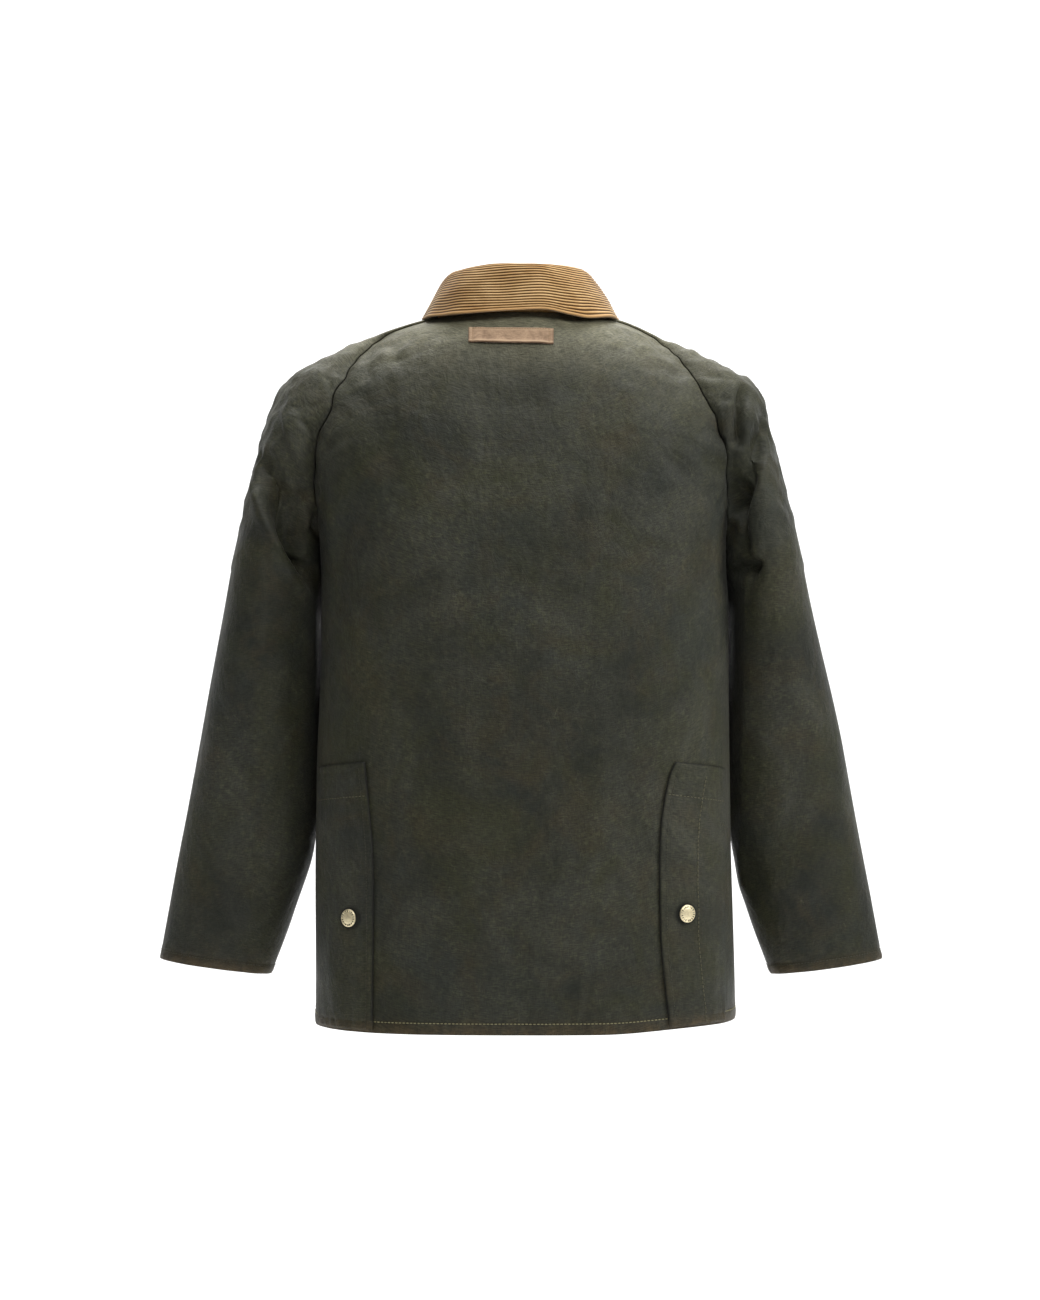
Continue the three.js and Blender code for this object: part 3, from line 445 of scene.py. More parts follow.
class Panel:
    """A panel of cloth: its outer face as a grid of points, with its outward directions and its place in the cut."""

    def __init__(self, grid, closed_from=None):
        self.closed_from = closed_from
        self.flat = grid
        self.out = normals_of(grid, closed_from)
        self.sunk = np.zeros(grid.shape[:2])
        self.grid = grid
        self.normals = self.out
        self.across = lengths_along(grid, 1)
        self.down = lengths_along(grid, 0)
        self.to_side = np.minimum(self.across, self.across[:, -1:] - self.across)
        self.to_hem = self.down[-1:] - self.down

    def clear_of_seams(self, reach):
        """0 on the seams and 1 from the given distance on. A closed sleeve has no side seam below the underarm."""
        clear = ease(0, reach, self.to_side)
        if self.closed_from is not None:
            rows = np.arange(len(clear))[:, None]
            clear = np.maximum(clear, ease(self.closed_from, self.closed_from + 9, rows))
        return clear

    def press(self, depth):
        """Sinks the face further by a depth at each point, straight in from the smooth shape that it had at first."""
        self.sunk = self.sunk + depth
        self.grid = self.flat - self.out * self.sunk[..., None]
        if self.closed_from is not None:
            self.grid[self.closed_from :, -1] = self.grid[self.closed_from :, 0]
        self.normals = normals_of(self.grid, self.closed_from)
        return self

    def point(self, row, column, lift=0.0):
        """Points of the face at fractional rows and columns, moved out along the panel's directions."""
        row, column = np.broadcast_arrays(row, column)
        i = np.clip(np.floor(row).astype(int), 0, len(self.grid) - 2)
        j = np.clip(np.floor(column).astype(int), 0, self.grid.shape[1] - 2)
        a, b = (row - i)[..., None], (column - j)[..., None]

        def blend(of):
            top = of[i, j] * (1 - b) + of[i, j + 1] * b
            low = of[i + 1, j] * (1 - b) + of[i + 1, j + 1] * b
            return top * (1 - a) + low * a

        return blend(self.grid) + unit(blend(self.normals)) * np.asarray(lift)[..., None]

    def column_at(self, row, x):
        """The fractional column where a row has the width x."""
        columns = np.arange(self.grid.shape[1])
        line = self.point(np.asarray(row, float)[:, None], columns[None])[..., 0]
        rising = line[0, -1] > line[0, 0]
        x = np.broadcast_to(x, (len(line),))
        return np.array([
            np.interp(at, one if rising else one[::-1], columns if rising else columns[::-1])
            for one, at in zip(line, x)
        ])

    def row_at(self, column, z):
        """The fractional row where a column reaches the height z."""
        rows = np.arange(len(self.grid))
        line = self.point(rows, np.full(len(rows), float(column)))[:, 2]
        return np.interp(-np.asarray(z, float), -line, rows)


def object_of(name, vertices, faces, material, uv=None, shade=True):
    """A mesh object at the origin, from points in millimetres, with an optional place in the cut for each corner."""
    mesh = bpy.data.meshes.new(name)
    faces = faces.tolist() if isinstance(faces, np.ndarray) else faces
    mesh.from_pydata((np.asarray(vertices) * MM).tolist(), [], faces)
    if uv is not None:
        corner = np.empty(len(mesh.loops), np.int32)
        mesh.loops.foreach_get("vertex_index", corner)
        layer = mesh.uv_layers.new(name="cut")
        layer.data.foreach_set("uv", (np.asarray(uv) * MM)[corner].astype(np.float32).ravel())
    mesh.polygons.foreach_set("use_smooth", np.full(len(mesh.polygons), shade))
    mesh.validate()
    mesh.update()
    made = bpy.data.objects.new(name, mesh)
    bpy.context.scene.collection.objects.link(made)
    mesh.materials.append(material)
    return made


def attribute(piece, name, values):
    """Gives each vertex of a piece a number that its material reads."""
    layer = piece.data.attributes.new(name, "FLOAT", "POINT")
    layer.data.foreach_set("value", np.asarray(values, np.float32).ravel())


def quads(index):
    """The quads of a grid of vertex numbers."""
    a, b, c, d = index[:-1, :-1], index[:-1, 1:], index[1:, 1:], index[1:, :-1]
    return np.stack([a, b, c, d], axis=2).reshape(-1, 4)


def wall(name, outer, inner, material, closed_from=None, uv=None, **values):
    """A closed shell between an outer and an inner grid of the same size. From closed_from on, its first and last
    columns are one. Values are numbers for each grid point, given to both faces."""
    rows, columns = outer.shape[:2]
    index = np.arange(rows * columns).reshape(rows, columns)
    if closed_from is not None:
        index[closed_from:, -1] = index[closed_from:, 0]
    under = index + rows * columns
    open_rows = rows if closed_from is None else closed_from + 1
    rims = [
        np.stack([under[0], index[0]]),
        np.stack([index[-1], under[-1]]),
        np.stack([index[:open_rows, 0], under[:open_rows, 0]]),
        np.stack([under[:open_rows, -1], index[:open_rows, -1]]),
    ]
    faces = np.concatenate([quads(index), quads(under)[:, ::-1]] + [quads(rim) for rim in rims])
    points = np.concatenate([outer.reshape(-1, 3), inner.reshape(-1, 3)])
    used, faces = np.unique(faces, return_inverse=True)
    faces = faces.reshape(-1, 4)
    both = {key: np.concatenate([value.ravel(), value.ravel()])[used] for key, value in values.items()}
    place = None if uv is None else np.concatenate([uv.reshape(-1, 2)] * 2)[used]
    made = object_of(name, points[used], faces, material, place)
    for key, value in both.items():
        attribute(made, key, value)
    return made


def colour(code):
    """A linear colour from an sRGB hex code."""
    channels = [int(code[i : i + 2], 16) / 255 for i in (1, 3, 5)]
    return [c / 12.92 if c <= 0.04045 else ((c + 0.055) / 1.055) ** 2.4 for c in channels] + [1.0]


class Finish:
    """A material under work: each call adds a node with its settings and its inputs, and gives one of its outputs."""

    def __init__(self, name):
        self.material = bpy.data.materials.new(name)
        self.material.use_nodes = True
        self.tree = self.material.node_tree
        self.shader = self.tree.nodes["Principled BSDF"]

    def add(self, kind, inputs=None, out=0, **settings):
        made = self.tree.nodes.new(kind)
        for name, value in settings.items():
            setattr(made, name, value)
        for name, value in (inputs or {}).items():
            self.join(made.inputs[name], value)
        return made.outputs[out]

    def join(self, socket, value):
        if isinstance(value, bpy.types.NodeSocket):
            self.tree.links.new(value, socket)
        else:
            socket.default_value = value

    def set(self, **values):
        for name, value in values.items():
            self.join(self.shader.inputs[name.replace("_", " ")], value)
        return self.material

    def ramp(self, value, *stops):
        made = self.tree.nodes.new("ShaderNodeValToRGB")
        self.join(made.inputs[0], value)
        ramp = made.color_ramp
        while len(ramp.elements) < len(stops):
            ramp.elements.new(0.5)
        for element, (at, shade) in zip(ramp.elements, stops):
            element.position = at
            element.color = colour(shade) if isinstance(shade, str) else (shade, shade, shade, 1)
        return made.outputs[0]

    def mix(self, share, a, b, blend="MIX"):
        return self.add(
            "ShaderNodeMix", {0: share, 6: a, 7: b}, out=2, data_type="RGBA", blend_type=blend, clamp_factor=True
        )

    def math(self, operation, a, b=0.0):
        return self.add("ShaderNodeMath", {0: a, 1: b}, operation=operation)

    def noise(self, vector, scale, detail=4.0, roughness=0.55, distortion=0.0):
        inputs = {"Vector": vector, "Scale": scale, "Detail": detail, "Roughness": roughness}
        return self.add("ShaderNodeTexNoise", inputs | {"Distortion": distortion})

    def place(self, scale=(1, 1, 1), uv=False, turn=(0, 0, 0)):
        source = self.add("ShaderNodeTexCoord", out="UV" if uv else "Object")
        turned = self.add("ShaderNodeMapping", {"Vector": source, "Rotation": turn})
        return self.add("ShaderNodeMapping", {"Vector": turned, "Scale": scale})

    def value(self, name):
        return self.add("ShaderNodeAttribute", out="Fac", attribute_name=name)

    def bump(self, height, strength, distance, under=None):
        inputs = {"Height": height, "Strength": strength, "Distance": distance}
        if under is not None:
            inputs["Normal"] = under
        return self.add("ShaderNodeBump", inputs)


def waxed_cotton():
    """Dark olive waxed cotton: cloudy mossy and earthy patches where the wax is thin, rubbed streaks, faint short
    scratches that slant three ways, a close crosswise weave, a paler band under the collar that is partly rubbed and
    partly painted light from above, hems that are worn brown, painted shade in the seams, and painted shadow along the
    flaps' edges and round the studs. The yarns are drawn about 1 mm wide, coarser than real, to show."""
    f = Finish("waxed_cotton")
    space = f.place()
    hanging = f.place(scale=(1, 1, 0.3))
    cloud = f.noise(space, 7, 6, 0.62, 0.7)
    base = f.ramp(cloud, (0.34, "#24261f"), (0.5, "#313229"), (0.66, "#424238"))
    moss = f.ramp(f.noise(space, 13, 5, 0.66, 0.6), (0.46, 0.0), (0.64, 0.7))
    earth = f.ramp(f.noise(space, 17, 6, 0.68, 0.9), (0.5, 0.0), (0.68, 0.6))
    green = f.mix(earth, f.mix(moss, base, colour("#34351f")), colour("#3f3826"))
    cool = f.mix(f.ramp(f.noise(space, 10, 5, 0.6, 0.9), (0.5, 0.0), (0.7, 0.5)), green, colour("#2f3431"))
    streak = f.mix(f.ramp(f.noise(hanging, 30, 5, 0.62, 0.8), (0.5, 0.0), (0.74, 0.35)), cool, colour("#45463a"))
    height = f.math("ADD", f.add("ShaderNodeSeparateXYZ", {0: space}, out=2), 1.0)
    # Partly rubbed cloth and partly painted light from above: the top of the yoke under the collar is paler.
    rubbed_and_lit_under_collar = f.math(
        "MULTIPLY",
        f.ramp(height, (0.88, 0.0), (0.925, 0.1), (0.945, 0.26), (0.96, 0.48), (0.975, 0.8), (0.99, 1.0)),
        f.ramp(f.noise(space, 34, 6, 0.66, 0.8), (0.25, 0.5), (0.62, 1.0)),
    )
    rubbed = f.mix(rubbed_and_lit_under_collar, streak, colour("#7b7862"))
    flecks = f.ramp(f.noise(space, 170, 5, 0.78), (0.5, 0.0), (0.72, 0.7))
    freckled = f.mix(f.math("MULTIPLY", flecks, f.ramp(cloud, (0.4, 0.15), (0.62, 1.0))), rubbed, colour("#56563f"))
    scratched = freckled
    for turn, fineness in ((0.35, 420), (-0.9, 460), (1.35, 400)):
        slanted = f.place(scale=(1, 1, 0.13), turn=(0, turn, 0))
        mark = f.ramp(f.noise(slanted, fineness, 2, 0.5), (0.66, 0.0), (0.8, 0.45))
        sparse = f.ramp(f.noise(space, 30 + 6 * turn, 3, 0.6), (0.5, 0.0), (0.62, 1.0))
        scratched = f.mix(f.math("MULTIPLY", mark, sparse), scratched, colour("#5b5a48"))
    worn = f.math("MULTIPLY", f.value("wear"), f.ramp(f.noise(space, 70, 5, 0.7), (0.3, 0.15), (0.65, 0.9)))
    edged = f.mix(worn, scratched, colour("#5a4b33"))
    # Painted shade: the dark attribute blackens the seams, and painted shadow darkens the flaps' edges and the cloth
    # round the studs.
    coloured = f.mix(f.value("dark"), edged, colour("#0f0f0b"))
    across = f.noise(f.place(scale=(0.3, 1.9, 1), uv=True), 480, 2, 0.55)
    down = f.noise(f.place(scale=(1.9, 0.3, 1), uv=True), 480, 2, 0.55)
    yarns = f.math("ADD", across, f.math("MULTIPLY", down, 0.5))
    woven = f.mix(f.ramp(yarns, (0.58, 0.55), (0.9, 0.0)), coloured, colour("#131410"))
    fine = f.bump(yarns, 0.4, 0.00035)
    rumple = f.bump(f.noise(space, 75, 6, 0.66, 0.9), 0.7, 0.0022, fine)
    soft = f.bump(f.noise(hanging, 24, 4, 0.55, 0.4), 0.5, 0.007, rumple)
    gloss = f.ramp(f.noise(space, 21, 5, 0.62), (0.3, 0.5), (0.7, 0.68))
    return f.set(Base_Color=woven, Roughness=gloss, Normal=soft, Specular_IOR_Level=0.2, Sheen_Weight=0.03,
                 Sheen_Roughness=0.5)


def corduroy():
    """Tan cotton corduroy: pale rubbed crests, deep grooves darkened by painted shade, patches where the pile is
    brushed, and a short uneven pile."""
    f = Finish("corduroy")
    brushed = f.ramp(f.noise(f.place(scale=(0.6, 0.6, 1.2)), 34, 5, 0.66, 0.5), (0.36, 0.0), (0.64, 1.0))
    # Painted shade: both ramps darken the grooves between the cords, most where the crest value is 0.
    dark = f.ramp(f.value("crest"), (0.05, "#1f1108"), (0.45, "#6e4e28"), (0.8, "#b68c55"), (1.0, "#caa06a"))
    pale = f.ramp(f.value("crest"), (0.05, "#2c1a0b"), (0.45, "#97744a"), (0.8, "#dcb780"), (1.0, "#eccb96"))
    shade = f.mix(brushed, dark, pale)
    pile = f.noise(f.place(scale=(1, 0.45, 1), uv=True), 1100, 3, 0.7)
    flecked = f.mix(f.ramp(pile, (0.35, 0.45), (0.6, 0.0)), shade, colour("#5a3a1c"))
    edge = f.mix(f.value("wear"), flecked, colour("#c49c6a"))
    rough = f.bump(pile, 0.7, 0.0006)
    return f.set(Base_Color=edge, Roughness=0.95, Normal=rough, Sheen_Weight=0.2, Sheen_Roughness=0.45,
                 Specular_IOR_Level=0.12)


def woven_patch():
    """The bare patch: pale brown close tape with a fine rib, rubbed at its edges, a little stained, and painted shade
    at its bottom fold and ends.
    """
    f = Finish("label")
    rib = f.noise(f.place(scale=(0.35, 2.2, 1), uv=True), 600, 2, 0.6)
    cloud = f.noise(f.place(), 90, 5, 0.65, 0.6)
    base = f.ramp(cloud, (0.3, "#7a6450"), (0.5, "#967d65"), (0.7, "#a88e73"))
    ribbed = f.mix(f.ramp(rib, (0.3, 0.4), (0.6, 0.0)), base, colour("#5d4836"))
    rubbed = f.mix(f.value("wear"), ribbed, colour("#b79d80"))
    # Painted shade along the bottom fold and at the ends.
    edge = f.mix(f.value("dark"), rubbed, colour("#4a3424"))
    return f.set(Base_Color=edge, Roughness=0.85, Normal=f.bump(rib, 0.6, 0.0005), Sheen_Weight=0.1,
                 Specular_IOR_Level=0.2)


def thread(name, code):
    """Sewing thread, twisted and a little uneven."""
    f = Finish(name)
    twist = f.noise(f.place(), 1500, 2)
    shade = f.mix(f.ramp(twist, (0.3, 0.35), (0.7, 0.0)), colour(code), colour("#2d2b20"))
    return f.set(Base_Color=shade, Roughness=0.7, Normal=f.bump(twist, 0.4, 0.0003))


def brass(name, code, roughness):
    """Pale brushed brass with small dull spots, darkened by tarnish in a stud's marks and by painted shade low on a
    stud's rim.
    """
    f = Finish(name)
    spots = f.noise(f.place(), 400, 4, 0.6)
    aged = f.mix(f.ramp(spots, (0.4, 0.0), (0.75, 0.4)), colour(code), colour("#a08a58"))
    shade = f.mix(f.value("tarnish_and_foot_shade"), aged, colour("#2f2615"))
    dull = f.ramp(spots, (0.3, roughness), (0.8, roughness + 0.18))
    return f.set(Base_Color=shade, Metallic=1.0, Roughness=dull, Normal=f.bump(spots, 0.15, 0.0003))


def zip_tape():
    """The zip's herringbone tape, nearly black."""
    f = Finish("zip_tape")
    cloth = f.place(uv=True)
    rib = f.add("ShaderNodeTexWave", {"Vector": cloth, "Scale": 700.0, "Distortion": 0.4}, out=1,
                bands_direction="DIAGONAL")
    shade = f.ramp(rib, (0.0, "#1b1a16"), (1.0, "#302f28"))
    return f.set(Base_Color=shade, Roughness=0.9, Normal=f.bump(rib, 0.4, 0.0004))


WAX = waxed_cotton()
CORD = corduroy()
PATCH = woven_patch()
HEM_THREAD = thread("hem_thread", "#8f8963")
SEAM_THREAD = thread("seam_thread", "#3f3e2e")
VENT_THREAD = thread("vent_thread", "#625e45")
PATCH_THREAD = thread("patch_thread", "#a58663")
STUD_BRASS = brass("stud_brass", "#fff2cc", 0.4)
ZIP_BRASS = brass("zip_brass", "#c4a868", 0.35)
TAPE = zip_tape()

RAGLAN_ROWS = 136
BODY_ROWS = 92
SLEEVE_ROWS = 88
BODY_DROP = 450.0
SLEEVE_DROP = 400.0
BACK_COLUMNS = 180
FRONT_COLUMNS = 66
SLEEVE_COLUMNS = 156
MIRROR = np.array([-1.0, 1, 1])
# Distances from a hem, where the rows lie close together for its edge and its stitched groove
BY_HEM = np.array([0, 0.8, 2, 4, 6, 8, 9.2, 10.2, 11, 11.8, 12.8, 14, 17, 21])


def levels(rows, drop):
    """The rows' levels: even from the neck (0) to the underarm (1) and on down, and close together by the hem (2)."""
    hem = 2 - BY_HEM[::-1] / drop
    return np.concatenate([np.linspace(0, 1, RAGLAN_ROWS + 1), np.linspace(1, hem[0], rows + 1)[1:-1], hem])


BODY_LEVELS = levels(BODY_ROWS, BODY_DROP)
SLEEVE_LEVELS = levels(SLEEVE_ROWS, SLEEVE_DROP)


def body_row(level):
    """The fractional row of the back or a front at a level."""
    return np.interp(level, BODY_LEVELS, np.arange(len(BODY_LEVELS)))


def draw_back():
    """The back's whole width, from the right seam to the left."""
    half = spaced(body_lines(1, BODY_LEVELS), BACK_COLUMNS // 2, by_end=True)
    return Panel(uneven(settled(np.concatenate([(half * MIRROR)[:, :0:-1], half], axis=1))))


def draw_front(side):
    """One front from its seam to the edge at the zip."""
    half = spaced(body_lines(-1, BODY_LEVELS), FRONT_COLUMNS, ZIP_OPENING, by_end=True)[:, ::-1]
    return Panel(uneven(settled(half if side > 0 else (half * MIRROR)[:, ::-1])))


def draw_sleeve(side):
    """One sleeve, from the back seam round the outside to the front seam. The right one runs the other way round, so
    that its directions point out too."""
    grid = spaced(sleeve_lines(SLEEVE_LEVELS), SLEEVE_COLUMNS, by_start=True, by_end=True)
    grid[RAGLAN_ROWS:, -1] = grid[RAGLAN_ROWS:, 0]
    grid = leaning(grid)
    return Panel(uneven(settled(grid if side > 0 else (grid * MIRROR)[:, ::-1])), RAGLAN_ROWS)


def leaning(p):
    """Below the armhole the front of the sleeve's inner side leans in behind the torso's edge: a soft swelling round
    the depth where the torso's front already curves away."""
    x, y, z = np.moveaxis(p, -1, 0)
    reach = ease(258, 286, -z) * (1 - ease(490, 535, -z))
    inner = 1 - ease(206, 236, x)
    swell = 11 * np.exp(-(((y + 64) / 24) ** 2)) * reach * inner
    return np.stack([x - swell, y, z], axis=-1)


def uneven(p):
    """The small waver of the sewn lines: the same shift for every panel at the same place, so that seams stay shut."""
    near = ease(60, 100, np.abs(p[..., 0])) * ease(8, 26, -p[..., 2]) * (1 - ease(180, 230, -p[..., 2]))
    shift = np.stack([softly(p, 70, 22), 0 * near, softly(p, 71, 22)], axis=-1)
    return p + 1.1 * near[..., None] * shift


def rumpled(panel, creases, seed):
    """Presses in a panel's own creases, the slow waves of waxed cloth that was folded and hung, and short puckers
    along its seams."""
    p = panel.flat
    seen = ease(0.05, 0.45, np.abs(panel.out[..., 1]))
    waves = 0.8 * ease(-0.1, 0.4, seen) * softly(p, seed, 90, (1, 1, 0.5))
    waves += seen * (0.22 * softly(p, seed + 1, 36, (1, 1, 0.8)) + 0.1 * softly(p, seed + 3, 15))
    waves *= ease(0, 20, panel.down)
    pucker = 0.28 * seen * softly(p, seed + 2, 13) * np.exp(-((panel.to_side / 9) ** 2))
    pucker *= ease(0.5, 5, panel.to_side)
    if panel.closed_from is not None:
        pucker[panel.closed_from :] = 0
    fold = creased(p, panel.out, creases)
    return panel.press(fold * panel.clear_of_seams(7) + waves * panel.clear_of_seams(26) + pucker)


def hemmed(panel, fold=11.0, seed=0):
    """Turns the cloth up at the hem: a slightly raised band, a groove where it is stitched, and small puckers."""
    band = ease(0, 3, panel.to_hem) * (1 - ease(fold - 1.5, fold + 1.5, panel.to_hem))
    groove = np.exp(-(((panel.to_hem - fold) / 1.8) ** 2))
    pucker = softly(panel.flat, seed + 31, 11) * np.exp(-(((panel.to_hem - fold) / 9) ** 2))
    return panel.press(0.5 * groove - 0.55 * band + 0.28 * pucker)


def seamed(panel, ridge=0.0):
    """Sinks the cloth into its side seams, beside a raised felled allowance."""
    d = panel.to_side.copy()
    if panel.closed_from is not None:
        d[panel.closed_from :] = 99
    return panel.press(0.55 * np.exp(-((d / 0.5) ** 2)) - ridge * ease(0.6, 2.4, d) * (1 - ease(7, 9.5, d)))


def panel_wall(name, panel, wear, seams):
    """Makes a panel's shell, with its edges drawn back a little from the pieces it is sewn to."""
    outer, normals = panel.grid.copy(), panel.normals
    last = len(outer) if panel.closed_from is None else panel.closed_from + 1
    for at, beside in seams:
        along = unit(outer[:last, beside] - outer[:last, at])
        if panel.closed_from is not None:
            along[-1] = 0
        outer[:last, at] += (along - normals[:last, at]) * SEAM / 2
    inner = outer - normals * CLOTH
    if panel.closed_from is not None:
        inner[panel.closed_from :, -1] = inner[panel.closed_from :, 0]
    uv = np.stack([panel.across, panel.down], axis=2)
    # Painted shade along the side seams, where the cloth sinks into them.
    dark = 0.85 * np.exp(-((panel.to_side / 1.1) ** 2))
    if panel.closed_from is not None:
        dark[panel.closed_from :] = 0
    return wall(name, outer, inner, WAX, panel.closed_from, uv, wear=wear, dark=dark)


def edge_wear(panel, hem=10.0, side=0.0):
    """How worn each point is: most at the hem's edge, and a little along the seams."""
    worn = 0.85 * np.exp(-((panel.to_hem / hem) ** 2))
    if side:
        worn = np.maximum(worn, side * np.exp(-((panel.to_side / 4) ** 2)))
    return worn


def stitches(name, path, normals, material, pitch=3.2, share=0.72, thick=0.36, sink=0.12):
    """A row of stitches along a path on the cloth: each is a long bead, an oval section that swells and closes along
    its length, laid along the path and half sunk."""
    step = np.linalg.norm(np.diff(path, axis=0), axis=1)
    along = np.concatenate([[0], np.cumsum(step)])
    count = max(2, int(along[-1] / pitch))
    middle = (np.arange(count) + 0.5) * along[-1] / count

    def at_distance(of, at):
        return np.stack([np.interp(at, along, of[:, k]) for k in range(3)], axis=-1)

    head = at_distance(path, middle + pitch * share / 2)
    tail = at_distance(path, middle - pitch * share / 2)
    centre, out = (head + tail) / 2, unit(at_distance(normals, middle))
    forward = unit(head - tail)
    across = np.cross(forward, out)
    ring, rings = 6, 5
    angle = np.linspace(0, 2 * np.pi, ring, endpoint=False)
    t = np.linspace(-1, 1, rings)
    swell = np.sqrt(np.maximum(0.12, 1 - t**4))
    length = pitch * share / 2
    offset = (
        forward[:, None, None] * (t * length)[None, :, None, None]
        + across[:, None, None] * (swell[:, None] * np.cos(angle) * thick)[None, :, :, None]
        + out[:, None, None] * (swell[:, None] * np.sin(angle) * thick + thick - sink)[None, :, :, None]
    )
    points = (centre[:, None, None] + offset).reshape(-1, 3)
    index = np.arange(rings * ring).reshape(rings, ring)
    index = np.concatenate([index, index[:, :1]], axis=1)
    size = rings * ring
    one = [tuple(q) for q in quads(index)] + [tuple(range(ring)), tuple(range(size - 1, size - ring - 1, -1))]
    faces = [tuple(v + k * size for v in face) for k in range(count) for face in one]
    made = object_of(name, points, faces, material)
    recalculate(made)
    return made


def recalculate(piece):
    """Turns a closed piece's faces outwards."""
    work = bmesh.new()
    work.from_mesh(piece.data)
    bmesh.ops.recalc_face_normals(work, faces=work.faces)
    work.to_mesh(piece.data)
    work.free()


BACK = seamed(hemmed(rumpled(draw_back(), BODY_CREASES, 11), seed=1), 0.35)
FRONTS = {
    "left": seamed(hemmed(rumpled(draw_front(1), BODY_CREASES, 12), seed=2), 0.35),
    "right": seamed(hemmed(rumpled(draw_front(-1), BODY_CREASES, 13), seed=3), 0.35),
}
SLEEVES = {
    "left": seamed(hemmed(rumpled(draw_sleeve(1), LEFT_SLEEVE_CREASES, 14), 9.5, 4)),
    "right": seamed(hemmed(rumpled(draw_sleeve(-1), RIGHT_SLEEVE_CREASES, 15), 9.5, 5)),
}


def keep(piece, node=None, body="jacket"):
    """Fixes a piece to its body, and lets it stand for a node by hiding that node's solid."""
    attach(piece, body)
    if node:
        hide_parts(node)
    return piece


keep(panel_wall("back_cloth", BACK, edge_wear(BACK, side=0.15), [(0, 1), (-1, -2)]), "back")
for side, front in FRONTS.items():
    seam = (0, 1) if side == "left" else (-1, -2)
    keep(panel_wall(f"front_cloth_{side}", front, edge_wear(front, side=0.15), [seam]), f"front_{side}")
for side, sleeve in SLEEVES.items():
    keep(panel_wall(f"sleeve_cloth_{side}", sleeve, edge_wear(sleeve), [(0, 1), (-1, -2)]), f"sleeve_{side}")


def catmull_rom(points, steps=40):
    """Centripetal Catmull-Rom curves through each row of points, as fine lines."""
    first = 2 * points[:, :1] - points[:, 1:2]
    last = 2 * points[:, -1:] - points[:, -2:-1]
    p = np.concatenate([first, points, last], axis=1)
    gap = np.sqrt(np.linalg.norm(np.diff(p, axis=1), axis=2))[..., None]
    a, b, c, d = p[:, :-3], p[:, 1:-2], p[:, 2:-1], p[:, 3:]
    before, here, after = gap[:, :-2], gap[:, 1:-1], gap[:, 2:]
    start = here * ((b - a) / before - (c - a) / (before + here) + (c - b) / here)
    end = here * ((c - b) / here - (d - b) / (here + after) + (d - c) / after)
    t = np.linspace(0, 1, steps, endpoint=False)[None, None, :, None]
    b, c, start, end = b[:, :, None], c[:, :, None], start[:, :, None], end[:, :, None]
    line = b + t * (start + t * (3 * (c - b) - 2 * start - end + t * (2 * (b - c) + start + end)))
    return np.concatenate([line.reshape(len(points), -1, 3), points[:, -1:]], axis=1)


def neckline(name):
    """The panels' top edges round one side of the neck, from the middle of the back to the front edge."""
    middle = BACK.grid.shape[1] // 2
    sleeve, front = SLEEVES[name].flat[0], FRONTS[name].flat[0]
    if name == "left":
        return np.concatenate([BACK.flat[0, middle:], sleeve, front])
    return np.concatenate([BACK.flat[0, middle::-1], sleeve[::-1], front[::-1]])


def along_line(line, share):
    """The points at shares of the way along a line."""
    along = np.concatenate([[0], np.cumsum(np.linalg.norm(np.diff(line, axis=0), axis=1))])
    return np.stack([np.interp(share * along[-1], along, line[:, k]) for k in range(3)], axis=1)


def collar_lines(at):
    """The collar's sections at shares from -1, the right front, over 0, the back, to 1, the left front: up the neck
    side of the stand, over the fold and down the outside of the fall."""
    right, left = [along_line(neckline(name), np.abs(at)) for name in ("right", "left")]
    foot = np.where((at < 0)[:, None], right, left)
    fold = settled(np.stack([collar_line["fold_" + k](at) for k in "xyz"], axis=1))
    edge = settled(np.stack([collar_line["edge_" + k](at) for k in "xyz"], axis=1))
    edge[:, 2] += fall_drop(edge[:, 0]) * ease(-60, 20, edge[:, 1])
    up = unit(fold - foot)
    out = unit((edge - fold) * np.array([1, 1, 0]))
    crown = (fold + edge) / 2 + FALL_CROWN * (out + up / 2)
    points = [
        foot - COLLAR_DROP * up - (CLOTH + SEAM + COLLAR_CLOTH) * out,
        (foot + fold) / 2 - FOLD_RADIUS / 3 * out,
        fold - FOLD_RADIUS * (out + 1.2 * up),
        fold,
        fold + FOLD_RADIUS * (out - 0.6 * up),
        crown,
        edge,
    ]
    return catmull_rom(np.stack(points, axis=1))


def collar():
    """The corduroy collar: its cords are rounded ridges with sharp grooves that run along it."""
    per_wale, rows, inner_columns = 6, 200, 50
    at = np.linspace(1, -1, rows + 1)
    lines = collar_lines(at)
    face = Panel(spaced(lines, per_wale * WALES))
    share = np.arange(per_wale * WALES + 1)[None] / per_wale
    share = share + 0.3 * softly(face.grid, 43, 70) * ease(0, 12, face.to_side)
    crest = np.sin(np.pi * share) ** 2
    wobble = 1 + 0.25 * softly(face.grid, 40, 30, (1, 1, 1))
    dent = np.exp(-(((face.grid[..., 0] - 19) / 12) ** 2) - ((face.grid[..., 2] - 28) / 16) ** 2)
    soft = 0.7 * softly(face.grid, 41, 42) - 1.6 * dent
    raised = face.grid + face.normals * (WALE_HEIGHT * crest * wobble + soft)[..., None]
    LAID["collar"] = face
    lining = Panel(spaced(lines, inner_columns))
    under = lining.grid - lining.normals * COLLAR_CLOTH
    worn = 0.7 * np.exp(-((face.to_side / 2.2) ** 2))
    return collar_wall(raised, under, crest, worn)


